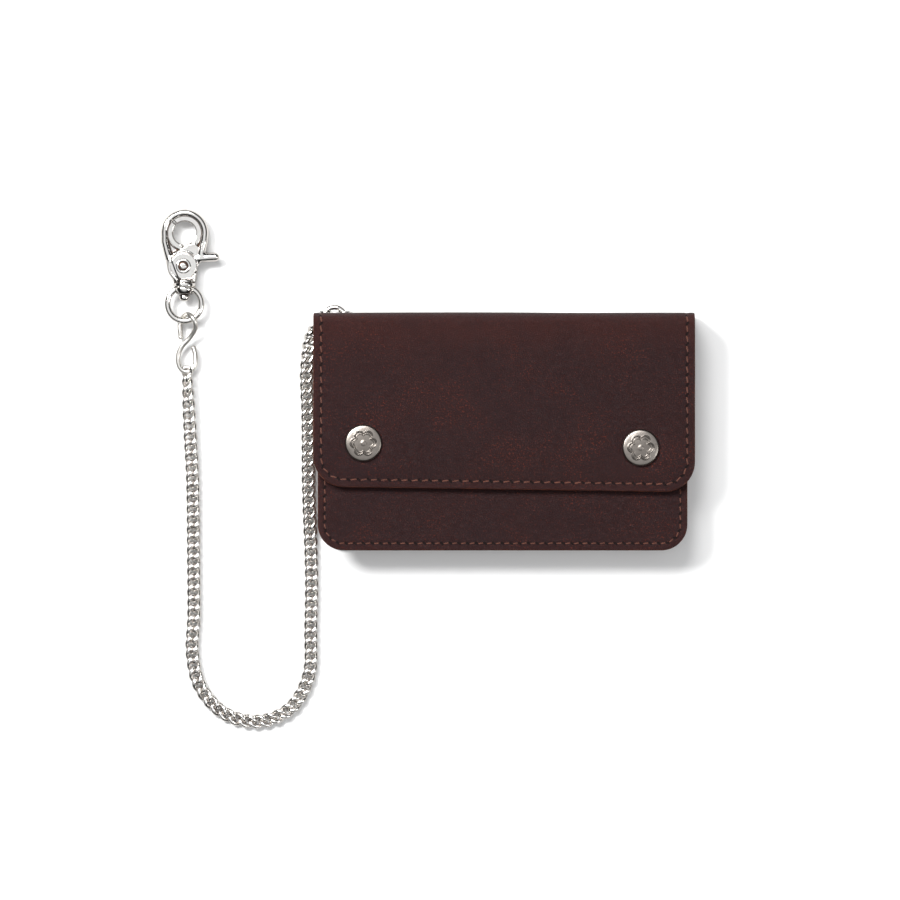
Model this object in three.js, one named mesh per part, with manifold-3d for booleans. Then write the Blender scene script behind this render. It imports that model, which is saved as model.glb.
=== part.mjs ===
// Chain wallet: a leather long wallet with a snap flap, lying closed on its back, with a curb
// chain and a swivel snap clasp. Millimetres, +Z up, X along the fold, +Y towards the fold.
// The origin is under the middle of the wallet, on the surface that it lies on.
import * as THREE from 'three';
import { mergeVertices } from 'three/addons/utils/BufferGeometryUtils.js';
import Module from 'manifold-3d';

const wasm = await Module();
wasm.setup();

// ---------------------------------------------------------------- driving dimensions

// Wallet outline, closed
const WALLET_WIDTH = 165; // along the fold, over the flap
const WALLET_HEIGHT = 103; // from the fold to the bottom edge
const BODY_INSET_LEFT = 1.8; // the body's edge lies inside the flap's by this much
const BODY_INSET_RIGHT = 3.1;
const BODY_CORNER_R = 11.3;
const FLAP_DROP_LEFT = 75.4; // from the fold down to the flap's lower edge
const FLAP_DROP_RIGHT = 77.8; // the flap is cut slightly out of square
const FLAP_CORNER_R = 13.2;
const MOUTH_DROP = 27.5; // from the fold down to the coin pocket's mouth

// Leather and the rooms between the layers, from the back up
const HIDE = 1.8; // outer leather
const THIN = 0.6; // lining and inner leather
const LAYER_GAP = 0.3; // between layers that lie on each other
const BILL_ROOM = 4.6;
const COIN_ROOM = 5.2;
const SNAP_ROOM = 2.0; // the snaps hold the flap this far off the front panel
const FOLD_R = 5; // outer radius of each corner of the fold
const HINGE_GAP = 0.8; // from a panel to the fold, for the fold's edge as it turns

// Inner pieces
const POCKET_COUNT = 3;
const POCKET_TOP_STEP = 2.6; // each pocket's mouth stands this far above the next one's
const COIN_WALL_OVER_MOUTH = 3; // the coin pocket's back wall stands above its mouth
const GUSSET_DEPTH = 3; // how far the gusset's fold points inwards
const GUSSET_EDGE = 1; // from the panel's edge to the gusset's edge
const GUSSET_LEATHER = 0.8;
const GUSSET_DROP = 15.5; // the gussets end this far below the fold

// Stitching
const FLAP_STITCH_INSET = 3.4;
const BODY_STITCH_INSET = 3.1;
const THREAD_WIDTH = 0.7;
const THREAD_HEIGHT = 0.4;

// Snaps: cap and socket in the flap, stud and post in the front panel
const SNAP_LEFT_IN = 21.7; // from the flap's side edge
const SNAP_RIGHT_IN = 23.5;
const SNAP_LEFT_DROP = 56.5; // from the fold
const SNAP_RIGHT_DROP = 58.5;
const CAP_R = 8;
const CAP_DOME = 2.0;
const CAP_RIM = 0.7;
const SNAP_SHANK_R = 1.7;
const SHANK_CLEARANCE = 0.35;
const SOCKET_R = 6.4;
const SOCKET_BASE = 0.5;
const STUD_R = 2.6;
const STUD_CLEARANCE = 0.45; // radial, between the stud and the socket
const STUD_FLANGE_R = 5.8;
const STUD_FLANGE = 0.3;
const POST_DISC_R = 5;
const POST_DISC = 0.4;

// Zip across the coin pocket's mouth
const ZIP_HALF_LENGTH = 62;
const TAPE = 0.5;
const ROW_GAP = 0.9; // between the two teeth rows, for the slider's post
const TOOTH_HEIGHT = 1.3;
const TOOTH_PITCH = 3;
const ZIP_STOP = 2;
const SLIDER_LENGTH = 8;
const SLIDER_RUN = 0.35; // clearance all round the rows and tapes
const SLIDER_WALL = 0.8;
const SLIDER_SIDE_GAP = 0.05; // from the slider to each side of the coin pocket's room
const SLIDER_FROM_END = 12; // from the zip's end to the slider's middle, with the pocket closed
const PULL_LENGTH = 14;
const PULL_WIDTH = 4.4;
const PULL_THICKNESS = 1;

// Chain fastening: two eyelets in the fold and the ring that passes through them
const RING_FROM_SIDE = 9; // from the wallet's left edge to the ring's middle
const RING_STANDOFF = 3.4; // how far the ring shows above the fold
const RING_R = 4.6; // to the middle of its wire
const RING_WIRE_R = 0.9;
const EYELET_SPREAD = 4.15; // from the ring's middle to each eyelet
const EYELET_BORE_R = 1.8;
const EYELET_WALL = 0.45;
const EYELET_FLANGE_R = 3.6;

// Curb chain, as its outer envelope
const CHAIN_HALF_WIDTH = 3.2;
const CHAIN_HALF_HEIGHT = 1.6;
const CHAIN_STEPS = 48;
const LINK_WIRE_R = 0.95; // wire of the S-hook

// Clasp: swivel ring, housing and jaw, all on one swivel axis along Y
const CLASP_X = -139.0;
const CLASP_Z = 5;
const SWIVEL_RING_Y = 55.6;
const SWIVEL_RING_R = 7.4;
const SWIVEL_RING_WIRE_R = 1.3;
const BOSS_HEIGHT = 2.2; // the flat-topped boss at the ring's top
const BOSS_R = 4.4;
const SWIVEL_GAP = 0.5; // between the boss and the collar
const COLLAR_HEIGHT = 2.7;
const COLLAR_R = 4.95;
const POST_R = 1.4;
const POST_HEAD_R = 2.45;
const POST_HEAD = 2.8;
const POST_HEAD_GAP = 0.9; // between the post's head and the boss
const POST_CLEARANCE = 0.2;
const HOOK_HOLE_R = 5.05;
const HOOK_RIM = 5.4; // from the hook's round hole to its outside
const HOOK_OVER_PIVOT = 14.5;
const HOOK_SPLIT = 135; // degrees, where the jaw meets the housing
const HOOK_NOTCH = 270;
const SPLIT_HALF_GAP = 2; // degrees
const PIVOT_OVER_COLLAR = 6.1;
const PIVOT_PLATE_R = 5.7;
const PIVOT_CLEARANCE = 0.4;
const RIVET_R = 1.2;
const RIVET_HEAD_R = 3.2;
const CLASP_HALF_THICKNESS = 2.4;
const LEVER_OVER_PIVOT = 3.9;
const LEVER_HALF_HEIGHT = 2.1;
const LEVER_REACH = 15.8; // from the pivot to the lever's tip
const SPRING_R = 2.2;
const SPRING_WIRE_R = 0.25;
const SPRING_TURNS = 1.5;

const ROUND = 20; // sides of a round piece
const CORNER_STEPS = 6;

// ---------------------------------------------------------------- places worked out from them

const LEFT = -WALLET_WIDTH / 2;
const RIGHT = WALLET_WIDTH / 2;
const BOTTOM = -WALLET_HEIGHT / 2;
const FOLD = WALLET_HEIGHT / 2;
const BODY_LEFT = LEFT + BODY_INSET_LEFT;
const BODY_RIGHT = RIGHT - BODY_INSET_RIGHT;
const FOLD_START = FOLD - FOLD_R;
const PANEL_TOP = FOLD_START - HINGE_GAP;
const MOUTH_Y = FOLD - MOUTH_DROP;
const GUSSET_TOP = FOLD - GUSSET_DROP;
const SNAP_LEFT = [LEFT + SNAP_LEFT_IN, FOLD - SNAP_LEFT_DROP];
const SNAP_RIGHT = [RIGHT - SNAP_RIGHT_IN, FOLD - SNAP_RIGHT_DROP];

const DIVIDER_Z = HIDE + BILL_ROOM;
const LAYER_STEP = THIN + LAYER_GAP;
const COIN_WALL_Z = DIVIDER_Z + LAYER_STEP * (POCKET_COUNT + 1);
const FRONT_Z = COIN_WALL_Z + THIN + COIN_ROOM;
const FRONT_TOP_Z = FRONT_Z + HIDE;
const LINING_Z = FRONT_TOP_Z + SNAP_ROOM;
const FLAP_Z = LINING_Z + THIN + LAYER_GAP;
const TOP_Z = FLAP_Z + HIDE;
const INNER_MARGIN = GUSSET_EDGE + GUSSET_DEPTH + GUSSET_LEATHER;
const ZIP_Z = (COIN_WALL_Z + THIN + FRONT_Z) / 2;
const SLIDER_REST = ZIP_HALF_LENGTH - SLIDER_FROM_END;
const SLIDER_HALF = COIN_ROOM / 2 - SLIDER_SIDE_GAP;
const TOOTH_DEPTH = SLIDER_HALF - SLIDER_WALL - SLIDER_RUN - ROW_GAP / 2;
const RING_X = LEFT + RING_FROM_SIDE;
const RING_Y = FOLD + RING_STANDOFF - RING_WIRE_R - RING_R;
const RING_Z = TOP_Z / 2;

const BOSS_TOP = SWIVEL_RING_Y + SWIVEL_RING_R - 0.3; // just inside the ring's own wire
const BOSS_LOW = BOSS_TOP - BOSS_HEIGHT;
const COLLAR_LOW = BOSS_TOP + SWIVEL_GAP;
const COLLAR_TOP = COLLAR_LOW + COLLAR_HEIGHT;
const PIVOT = [CLASP_X - 0.4, COLLAR_TOP + PIVOT_OVER_COLLAR];
const HOOK = [CLASP_X + 0.1, PIVOT[1] + HOOK_OVER_PIVOT]; // middle of the hook's round hole
const HOOK_R = HOOK_HOLE_R + HOOK_RIM;

// ---------------------------------------------------------------- materials

function material(color, roughness, metalness) {
  return new THREE.MeshStandardMaterial({ color, roughness, metalness });
}

const outerLeather = () => material(0x402b2c, 0.5, 0);
const innerLeather = () => material(0x4a2a22, 0.7, 0);
const threadMaterial = () => material(0x82554a, 0.8, 0);
const nickel = () => material(0xd8d4cc, 0.18, 1);
const antiqueNickel = () => material(0xaaa59b, 0.4, 1);
const zipBrass = () => material(0xb08d4a, 0.35, 1);
const tapeFabric = () => material(0x1e1a1a, 0.9, 0);

// ---------------------------------------------------------------- shape helpers

/** The signed volume of an indexed geometry: below 0 where its faces point inwards. */
function signedVolume(geometry) {
  const p = geometry.attributes.position;
  const index = geometry.index;
  const [a, b, c] = [new THREE.Vector3(), new THREE.Vector3(), new THREE.Vector3()];
  let total = 0;
  for (let i = 0; i < index.count; i += 3) {
    a.fromBufferAttribute(p, index.getX(i));
    b.fromBufferAttribute(p, index.getX(i + 1));
    c.fromBufferAttribute(p, index.getX(i + 2));
    total += a.dot(b.cross(c)) / 6;
  }
  return total;
}

/** A closed, indexed copy of a geometry with shared corners merged and faces pointing out. */
function closed(geometry) {
  const bare = geometry.clone();
  bare.deleteAttribute('normal');
  bare.deleteAttribute('uv');
  const merged = mergeVertices(bare, 1e-4);
  const kept = [];
  for (let i = 0; i < merged.index.count; i += 3) {
    const corner = [0, 1, 2].map((k) => merged.index.getX(i + k));
    if (new Set(corner).size === 3) {
      kept.push(...corner);
    }
  }
  merged.setIndex(kept);
  if (signedVolume(merged) < 0) {
    merged.setIndex(kept.slice().reverse());
  }
  return merged;
}

function toSolid(geometry) {
  const g = closed(geometry);
  return new wasm.Manifold(new wasm.Mesh({
    numProp: 3,
    vertProperties: new Float32Array(g.attributes.position.array),
    triVerts: new Uint32Array(g.index.array),
  }));
}

function fromSolid(solid) {
  const mesh = solid.getMesh();
  const geometry = new THREE.BufferGeometry();
  geometry.setAttribute('position', new THREE.BufferAttribute(mesh.vertProperties, 3));
  geometry.setIndex(new THREE.BufferAttribute(mesh.triVerts, 1));
  return geometry;
}

function join(...geometries) {
  return fromSolid(geometries.map(toSolid).reduce((whole, next) => whole.add(next)));
}

function cut(geometry, ...tools) {
  return fromSolid(tools.map(toSolid).reduce((rest, tool) => rest.subtract(tool), toSolid(geometry)));
}

/** Points of an outline whose corners are rounded: each corner is [x, y] or [x, y, radius]. */
function rounded(corners) {
  const points = [];
  corners.forEach(([x, y, radius = 0], i) => {
    const corner = new THREE.Vector2(x, y);
    if (radius === 0) {
      points.push(corner);
      return;
    }
    const before = corners[(i + corners.length - 1) % corners.length];
    const after = corners[(i + 1) % corners.length];
    const toBefore = new THREE.Vector2(before[0], before[1]).sub(corner).normalize();
    const toAfter = new THREE.Vector2(after[0], after[1]).sub(corner).normalize();
    const half = Math.acos(toBefore.dot(toAfter)) / 2;
    const centre = toBefore.clone().add(toAfter).normalize()
      .multiplyScalar(radius / Math.sin(half)).add(corner);
    const start = corner.clone().addScaledVector(toBefore, radius / Math.tan(half)).sub(centre);
    const turn = Math.PI - 2 * half;
    const side = Math.sign(toBefore.cross(toAfter)) || 1;
    for (let k = 0; k <= CORNER_STEPS; k += 1) {
      const angle = -side * turn * (k / CORNER_STEPS);
      points.push(start.clone().rotateAround(new THREE.Vector2(), angle).add(centre));
    }
  });
  return points;
}

/** A plate with that outline, from z0 up to z1, with round holes [x, y, radius]. */
function plate(points, z0, z1, holes = []) {
  const shape = new THREE.Shape(points);
  for (const [x, y, radius] of holes) {
    const hole = new THREE.Path();
    hole.absarc(x, y, radius, 0, 2 * Math.PI, true);
    shape.holes.push(hole);
  }
  const geometry = new THREE.ExtrudeGeometry(shape, {
    depth: z1 - z0,
    bevelEnabled: false,
    curveSegments: ROUND / 2,
  });
  return geometry.translate(0, 0, z0);
}

/** A block between two corners. */
function block([x0, y0, z0], [x1, y1, z1]) {
  return new THREE.BoxGeometry(x1 - x0, y1 - y0, z1 - z0)
    .translate((x0 + x1) / 2, (y0 + y1) / 2, (z0 + z1) / 2);
}

/** Turns a profile of [radius, height] about the Z axis through (x, y). */
function turnedZ(profile, [x, y], sides = ROUND) {
  const points = profile.map(([r, h]) => new THREE.Vector2(r, h));
  return new THREE.LatheGeometry(points, sides).rotateX(Math.PI / 2).translate(x, y, 0);
}

/** Turns a profile of [radius, y] about the axis along Y through (x, z). */
function turnedY(profile, [x, z], sides = ROUND) {
  const points = profile.map(([r, h]) => new THREE.Vector2(r, h));
  return new THREE.LatheGeometry(points, sides).translate(x, 0, z);
}

/** A solid cylinder profile between two heights. */
function rod(radius, low, high) {
  return [[0, low], [radius, low], [radius, high], [0, high]];
}

/** Extrudes a (y, z) outline along X from x0 to x1. */
function barAlongX(points, x0, x1) {
  const geometry = new THREE.ExtrudeGeometry(new THREE.Shape(points), {
    depth: x1 - x0,
    bevelEnabled: false,
  });
  const basis = new THREE.Matrix4().makeBasis(
    new THREE.Vector3(0, 1, 0),
    new THREE.Vector3(0, 0, 1),
    new THREE.Vector3(1, 0, 0),
  );
  return geometry.applyMatrix4(basis).translate(x0, 0, 0);
}

/** Extrudes an (x, z) outline along Y from y0 to y1. */
function barAlongY(points, y0, y1) {
  const geometry = new THREE.ExtrudeGeometry(new THREE.Shape(points), {
    depth: y1 - y0,
    bevelEnabled: false,
  });
  return geometry.rotateX(Math.PI / 2).translate(0, y1, 0);
}

/** A round wire along a curve. */
function wire(curve, radius, sides, steps) {
  const section = new THREE.Shape();
  for (let i = 0; i < sides; i += 1) {
    const angle = (2 * Math.PI * i) / sides;
    const [x, y] = [radius * Math.cos(angle), radius * Math.sin(angle)];
    if (i === 0) {
      section.moveTo(x, y);
    } else {
      section.lineTo(x, y);
    }
  }
  return new THREE.ExtrudeGeometry(section, { steps, bevelEnabled: false, extrudePath: curve });
}

/** A smooth curve whose section keeps level: its first axis is horizontal, its second is up. */
class LevelCurve extends THREE.CatmullRomCurve3 {
  computeFrenetFrames(segments) {
    const tangents = [];
    const normals = [];
    const binormals = [];
    for (let i = 0; i <= segments; i += 1) {
      const tangent = this.getTangentAt(i / segments);
      const level = new THREE.Vector3(0, 0, 1).cross(tangent).normalize();
      tangents.push(tangent);
      normals.push(level);
      binormals.push(tangent.clone().cross(level));
    }
    return { tangents, normals, binormals };
  }
}

/** A ring sector between two radii and two angles in degrees. */
function sector([cx, cy], inner, outer, from, to, steps = 16) {
  const points = [];
  for (let i = 0; i <= steps; i += 1) {
    const angle = THREE.MathUtils.degToRad(from + ((to - from) * i) / steps);
    points.push(new THREE.Vector2(cx + outer * Math.cos(angle), cy + outer * Math.sin(angle)));
  }
  for (let i = steps; i >= 0; i -= 1) {
    const angle = THREE.MathUtils.degToRad(from + ((to - from) * i) / steps);
    points.push(new THREE.Vector2(cx + inner * Math.cos(angle), cy + inner * Math.sin(angle)));
  }
  return points;
}

/** A band of that width along an open line of points. */
function band(line, width) {
  const left = [];
  const right = [];
  line.forEach((point, i) => {
    const before = line[Math.max(i - 1, 0)];
    const after = line[Math.min(i + 1, line.length - 1)];
    const along = after.clone().sub(before).normalize();
    const across = new THREE.Vector2(-along.y, along.x).multiplyScalar(width / 2);
    left.push(point.clone().add(across));
    right.unshift(point.clone().sub(across));
  });
  return [...left, ...right];
}

function vectors(points) {
  return points.map((p) => new THREE.Vector3(...p));
}

// ---------------------------------------------------------------- assembly

const wallet = new THREE.Group();

function add(name, geometry, itsMaterial) {
  const mesh = new THREE.Mesh(geometry, itsMaterial);
  mesh.name = name;
  wallet.add(mesh);
}

// ---------------------------------------------------------------- body leather

/** The body's outline up to that height, with round lower corners. */
function bodyOutline(top) {
  return [
    [BODY_LEFT, top],
    [BODY_LEFT, BOTTOM, BODY_CORNER_R],
    [BODY_RIGHT, BOTTOM, BODY_CORNER_R],
    [BODY_RIGHT, top],
  ];
}

const snapPlaces = { left: SNAP_LEFT, right: SNAP_RIGHT };
const snapHoleR = SNAP_SHANK_R + SHANK_CLEARANCE;
const snapHoles = Object.values(snapPlaces).map(([x, y]) => [x, y, snapHoleR]);

const backOutline = [[LEFT, PANEL_TOP], ...bodyOutline(GUSSET_TOP), [RIGHT, PANEL_TOP]];
add('back_panel', plate(rounded(backOutline), 0, HIDE), outerLeather());
add('front_panel', plate(rounded(bodyOutline(MOUTH_Y)), FRONT_Z, FRONT_TOP_Z, snapHoles), outerLeather());

/** An inner leaf of thin leather, between the gussets, from z up, ending at that height. */
function leaf(z, top) {
  const outline = [
    [BODY_LEFT + INNER_MARGIN, top],
    [BODY_LEFT + INNER_MARGIN, BOTTOM + INNER_MARGIN],
    [BODY_RIGHT - INNER_MARGIN, BOTTOM + INNER_MARGIN],
    [BODY_RIGHT - INNER_MARGIN, top],
  ];
  return plate(rounded(outline), z, z + THIN);
}

const coinWallTop = MOUTH_Y + COIN_WALL_OVER_MOUTH;
add('bill_divider', leaf(DIVIDER_Z, coinWallTop + POCKET_TOP_STEP * (POCKET_COUNT + 1)), innerLeather());
for (let i = 1; i <= POCKET_COUNT; i += 1) {
  const top = coinWallTop + POCKET_TOP_STEP * (POCKET_COUNT + 1 - i);
  add(`card_pocket_${i}`, leaf(DIVIDER_Z + LAYER_STEP * i, top), innerLeather());
}
add('coin_pocket_wall', leaf(COIN_WALL_Z, coinWallTop), innerLeather());

/** The gusset's section: a strip folded inwards, as [across, z] from the panel's edge. */
function gussetSection(edge, inwards) {
  const low = HIDE + LAYER_GAP;
  const high = FRONT_Z - LAYER_GAP;
  const middle = (low + high) / 2;
  const at = (depth) => edge + inwards * depth;
  const outer = GUSSET_EDGE;
  const tip = GUSSET_EDGE + GUSSET_DEPTH - LAYER_GAP;
  return [
    [at(outer), low],
    [at(outer + GUSSET_LEATHER), low],
    [at(tip + GUSSET_LEATHER), middle],
    [at(outer + GUSSET_LEATHER), high],
    [at(outer), high],
    [at(tip), middle],
  ].map(([across, z]) => new THREE.Vector2(across, z));
}

const gussetLow = BOTTOM + BODY_CORNER_R;
add('gusset_left', barAlongY(gussetSection(BODY_LEFT, 1), gussetLow, GUSSET_TOP), innerLeather());
add('gusset_right', barAlongY(gussetSection(BODY_RIGHT, -1), gussetLow, GUSSET_TOP), innerLeather());
add('gusset_bottom', barAlongX(
  gussetSection(BOTTOM, 1),
  BODY_LEFT + BODY_CORNER_R,
  BODY_RIGHT - BODY_CORNER_R,
), innerLeather());

// ---------------------------------------------------------------- fold and flap

/** The fold's section in (y, z): a wall with a quarter turn at each end. */
function foldSection() {
  const outer = [];
  const inner = [];
  for (const [centreZ, from] of [[FOLD_R, -90], [TOP_Z - FOLD_R, 0]]) {
    for (let i = 0; i <= CORNER_STEPS; i += 1) {
      const angle = THREE.MathUtils.degToRad(from + (90 * i) / CORNER_STEPS);
      const [c, s] = [Math.cos(angle), Math.sin(angle)];
      const innerR = FOLD_R - HIDE;
      outer.push(new THREE.Vector2(FOLD_START + FOLD_R * c, centreZ + FOLD_R * s));
      inner.unshift(new THREE.Vector2(FOLD_START + innerR * c, centreZ + innerR * s));
    }
  }
  return [...outer, ...inner];
}

const eyeletPlaces = { left: RING_X - EYELET_SPREAD, right: RING_X + EYELET_SPREAD };
const eyeletHoleR = EYELET_BORE_R + EYELET_WALL + LAYER_GAP;
const eyeletHoles = Object.values(eyeletPlaces).map((x) => turnedY(
  rod(eyeletHoleR, FOLD - HIDE - 1, FOLD + 1),
  [x, RING_Z],
));
add('spine_fold', cut(barAlongX(foldSection(), LEFT, RIGHT), ...eyeletHoles), outerLeather());

for (const [side, x] of Object.entries(eyeletPlaces)) {
  const inside = FOLD - HIDE - LAYER_GAP;
  const outside = FOLD + LAYER_GAP;
  const barrel = EYELET_BORE_R + EYELET_WALL;
  const profile = [
    [EYELET_BORE_R, inside - EYELET_WALL],
    [EYELET_FLANGE_R, inside - EYELET_WALL],
    [EYELET_FLANGE_R, inside],
    [barrel, inside],
    [barrel, outside],
    [EYELET_FLANGE_R, outside],
    [EYELET_FLANGE_R, outside + EYELET_WALL],
    [EYELET_BORE_R, outside + EYELET_WALL],
    [EYELET_BORE_R, inside - EYELET_WALL],
  ];
  add(`eyelet_${side}`, turnedY(profile, [x, RING_Z]), nickel());
}

add(
  'attachment_ring',
  new THREE.TorusGeometry(RING_R, RING_WIRE_R, 8, 24).translate(RING_X, RING_Y, RING_Z),
  nickel(),
);

/** The flap's outline, drawn in by inset on its three free sides. */
function flapOutline(inset, top) {
  return [
    [LEFT + inset, top],
    [LEFT + inset, FOLD - FLAP_DROP_LEFT + inset, FLAP_CORNER_R - inset],
    [RIGHT - inset, FOLD - FLAP_DROP_RIGHT + inset, FLAP_CORNER_R - inset],
    [RIGHT - inset, top],
  ];
}

const socketHoleR = SOCKET_R + LAYER_GAP;
const socketHoles = Object.values(snapPlaces).map(([x, y]) => [x, y, socketHoleR]);
add('flap_outer', plate(rounded(flapOutline(0, PANEL_TOP)), FLAP_Z, TOP_Z, snapHoles), outerLeather());
add('flap_lining', plate(
  rounded(flapOutline(LAYER_GAP, PANEL_TOP)),
  LINING_Z,
  LINING_Z + THIN,
  socketHoles,
), innerLeather());

/** A raised line of thread along an open outline, standing on z. */
function threadLine(outline, z) {
  const low = z + LAYER_GAP;
  return plate(band(rounded(outline), THREAD_WIDTH), low, low + THREAD_HEIGHT);
}

/** The body's stitching, round its three closed sides. */
function bodyStitchLine() {
  const [left, right] = [BODY_LEFT + BODY_STITCH_INSET, BODY_RIGHT - BODY_STITCH_INSET];
  const low = BOTTOM + BODY_STITCH_INSET;
  const top = MOUTH_Y - BODY_STITCH_INSET;
  const radius = BODY_CORNER_R - BODY_STITCH_INSET;
  return [[left, top], [left, low, radius], [right, low, radius], [right, top]];
}

add('flap_thread', threadLine(flapOutline(FLAP_STITCH_INSET, PANEL_TOP), TOP_Z), threadMaterial());
add('body_thread', threadLine(bodyStitchLine(), FRONT_TOP_Z), threadMaterial());

// ---------------------------------------------------------------- snaps

const socketTop = FLAP_Z - LAYER_GAP - 0.1;
const socketBaseZ = socketTop - SOCKET_BASE;
const studFlangeZ = FRONT_TOP_Z + LAYER_GAP;
const studZ = studFlangeZ + STUD_FLANGE;
const studTopZ = socketBaseZ - LAYER_GAP;
const socketZ = studZ + LAYER_GAP;
const postDiscZ = FRONT_Z - LAYER_GAP - POST_DISC;
const shankTopZ = studTopZ - LAYER_GAP;

/** Cap with its shank: a rolled rim round a shallow dome. */
function capProfile() {
  const low = TOP_Z + LAYER_GAP;
  return [
    [0, socketBaseZ + 0.2],
    [SNAP_SHANK_R, socketBaseZ + 0.2],
    [SNAP_SHANK_R, low],
    [CAP_R, low],
    [CAP_R, low + CAP_RIM],
    [CAP_R * 0.85, low + CAP_RIM + 0.45 * (CAP_DOME - CAP_RIM)],
    [CAP_R * 0.5, low + CAP_RIM + 0.85 * (CAP_DOME - CAP_RIM)],
    [0, low + CAP_DOME],
  ];
}

/** Socket: a cup whose mouth takes the stud, with a hole in its base for the cap's shank. */
function socketProfile() {
  const mouthR = STUD_R + STUD_CLEARANCE;
  return [
    [mouthR, socketZ],
    [SOCKET_R, socketZ],
    [SOCKET_R, socketTop],
    [snapHoleR, socketTop],
    [snapHoleR, socketBaseZ],
    [mouthR, socketBaseZ],
    [mouthR, socketZ],
  ];
}

/** Stud: a flange on the panel with a hollow post. */
function studProfile() {
  return [
    [snapHoleR, studFlangeZ],
    [STUD_FLANGE_R, studFlangeZ],
    [STUD_FLANGE_R, studZ],
    [STUD_R, studZ],
    [STUD_R, studTopZ],
    [snapHoleR, studTopZ],
    [snapHoleR, studFlangeZ],
  ];
}

/** Post: a disc behind the panel with the shank that goes up into the stud. */
function postProfile() {
  return [
    [0, postDiscZ],
    [POST_DISC_R, postDiscZ],
    [POST_DISC_R, postDiscZ + POST_DISC],
    [SNAP_SHANK_R, postDiscZ + POST_DISC],
    [SNAP_SHANK_R, shankTopZ],
    [0, shankTopZ],
  ];
}

for (const [side, place] of Object.entries(snapPlaces)) {
  add(`snap_cap_${side}`, turnedZ(capProfile(), place), antiqueNickel());
  add(`snap_socket_${side}`, turnedZ(socketProfile(), place), antiqueNickel());
  add(`snap_stud_${side}`, turnedZ(studProfile(), place), antiqueNickel());
  add(`snap_post_${side}`, turnedZ(postProfile(), place), antiqueNickel());
}

// ---------------------------------------------------------------- zip

const tapeY = MOUTH_Y + LAYER_GAP;
const rowY = tapeY + TAPE + LAYER_GAP;
const rowTopY = rowY + TOOTH_HEIGHT;
const zipEnd = ZIP_HALF_LENGTH - ZIP_STOP - LAYER_GAP;
const tapeEdge = ROW_GAP / 2 + 0.15;

add('zip_tape_front', block(
  [-ZIP_HALF_LENGTH, tapeY, ZIP_Z + tapeEdge],
  [ZIP_HALF_LENGTH, tapeY + TAPE, FRONT_TOP_Z],
), tapeFabric());
add('zip_tape_back', block(
  [-ZIP_HALF_LENGTH, tapeY, COIN_WALL_Z + THIN + LAYER_GAP],
  [ZIP_HALF_LENGTH, tapeY + TAPE, ZIP_Z - tapeEdge],
), tapeFabric());

/** One row of teeth on its cord, as a comb in (x, z). side is 1 in front and -1 behind. */
function teethRow(side, shift) {
  const root = ROW_GAP / 2 + TOOTH_DEPTH;
  const valley = ROW_GAP / 2 + TOOTH_DEPTH * 0.55;
  const tip = ROW_GAP / 2;
  const points = [new THREE.Vector2(-zipEnd, ZIP_Z + side * root)];
  points.push(new THREE.Vector2(zipEnd, ZIP_Z + side * root));
  const count = Math.floor((2 * zipEnd) / TOOTH_PITCH) - 1;
  for (let i = count; i > 0; i -= 1) {
    const x = -zipEnd + (i + shift) * TOOTH_PITCH;
    const half = TOOTH_PITCH / 4;
    points.push(new THREE.Vector2(x + half, ZIP_Z + side * valley));
    points.push(new THREE.Vector2(x + half, ZIP_Z + side * tip));
    points.push(new THREE.Vector2(x - half, ZIP_Z + side * tip));
    points.push(new THREE.Vector2(x - half, ZIP_Z + side * valley));
  }
  return barAlongY(points, rowY, rowTopY);
}

add('zip_teeth_front', closed(teethRow(1, 0)), zipBrass());
add('zip_teeth_back', closed(teethRow(-1, 0.5)), zipBrass());

for (const [side, end] of [['left', -1], ['right', 1]]) {
  const [near, far] = [end * (ZIP_HALF_LENGTH - ZIP_STOP), end * ZIP_HALF_LENGTH];
  const reach = ROW_GAP / 2 + TOOTH_DEPTH;
  add(`zip_stop_${side}`, block(
    [Math.min(near, far), rowY, ZIP_Z - reach],
    [Math.max(near, far), rowTopY, ZIP_Z + reach],
  ), zipBrass());
}

const EAR = 0.7;
const PIN_R = 0.6;
const PULL_EYE_R = 1.25;
const sliderTopY = rowTopY + SLIDER_RUN + SLIDER_WALL;
const pivotY = sliderTopY + PULL_EYE_R + 0.2;
const earInner = PULL_WIDTH / 2 - 0.7;

/** The slider: top wing with side flanges, post between the rows, bottom wing and pull ears. */
function slider() {
  const [x0, x1] = [SLIDER_REST - SLIDER_LENGTH / 2, SLIDER_REST + SLIDER_LENGTH / 2];
  const flangeIn = SLIDER_HALF - SLIDER_WALL;
  const flangeOut = SLIDER_HALF;
  const wingY = rowTopY + SLIDER_RUN;
  const flangeY = tapeY + TAPE + SLIDER_RUN;
  const underY = tapeY - SLIDER_RUN;
  const underHalf = COIN_ROOM / 2 - 2 * SLIDER_RUN;
  const post = ROW_GAP / 2 - 0.2;
  const earX = 1.6;
  const pieces = [
    block([x0, wingY, ZIP_Z - flangeOut], [x1, sliderTopY, ZIP_Z + flangeOut]),
    block([x0, flangeY, ZIP_Z + flangeIn], [x1, sliderTopY, ZIP_Z + flangeOut]),
    block([x0, flangeY, ZIP_Z - flangeOut], [x1, sliderTopY, ZIP_Z - flangeIn]),
    block([SLIDER_REST, underY - SLIDER_WALL, ZIP_Z - post], [x1, sliderTopY, ZIP_Z + post]),
    block([x0, underY - SLIDER_WALL, ZIP_Z - underHalf], [x1, underY, ZIP_Z + underHalf]),
    turnedZ(rod(PIN_R, ZIP_Z - earInner - EAR / 2, ZIP_Z + earInner + EAR / 2), [SLIDER_REST, pivotY], 12),
  ];
  for (const side of [-1, 1]) {
    const inner = ZIP_Z + side * earInner;
    const outer = inner + side * EAR;
    pieces.push(block(
      [SLIDER_REST - earX, sliderTopY - SLIDER_WALL / 2, Math.min(inner, outer)],
      [SLIDER_REST + earX, pivotY + PIN_R + 0.4, Math.max(inner, outer)],
    ));
  }
  return join(...pieces);
}

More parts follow.
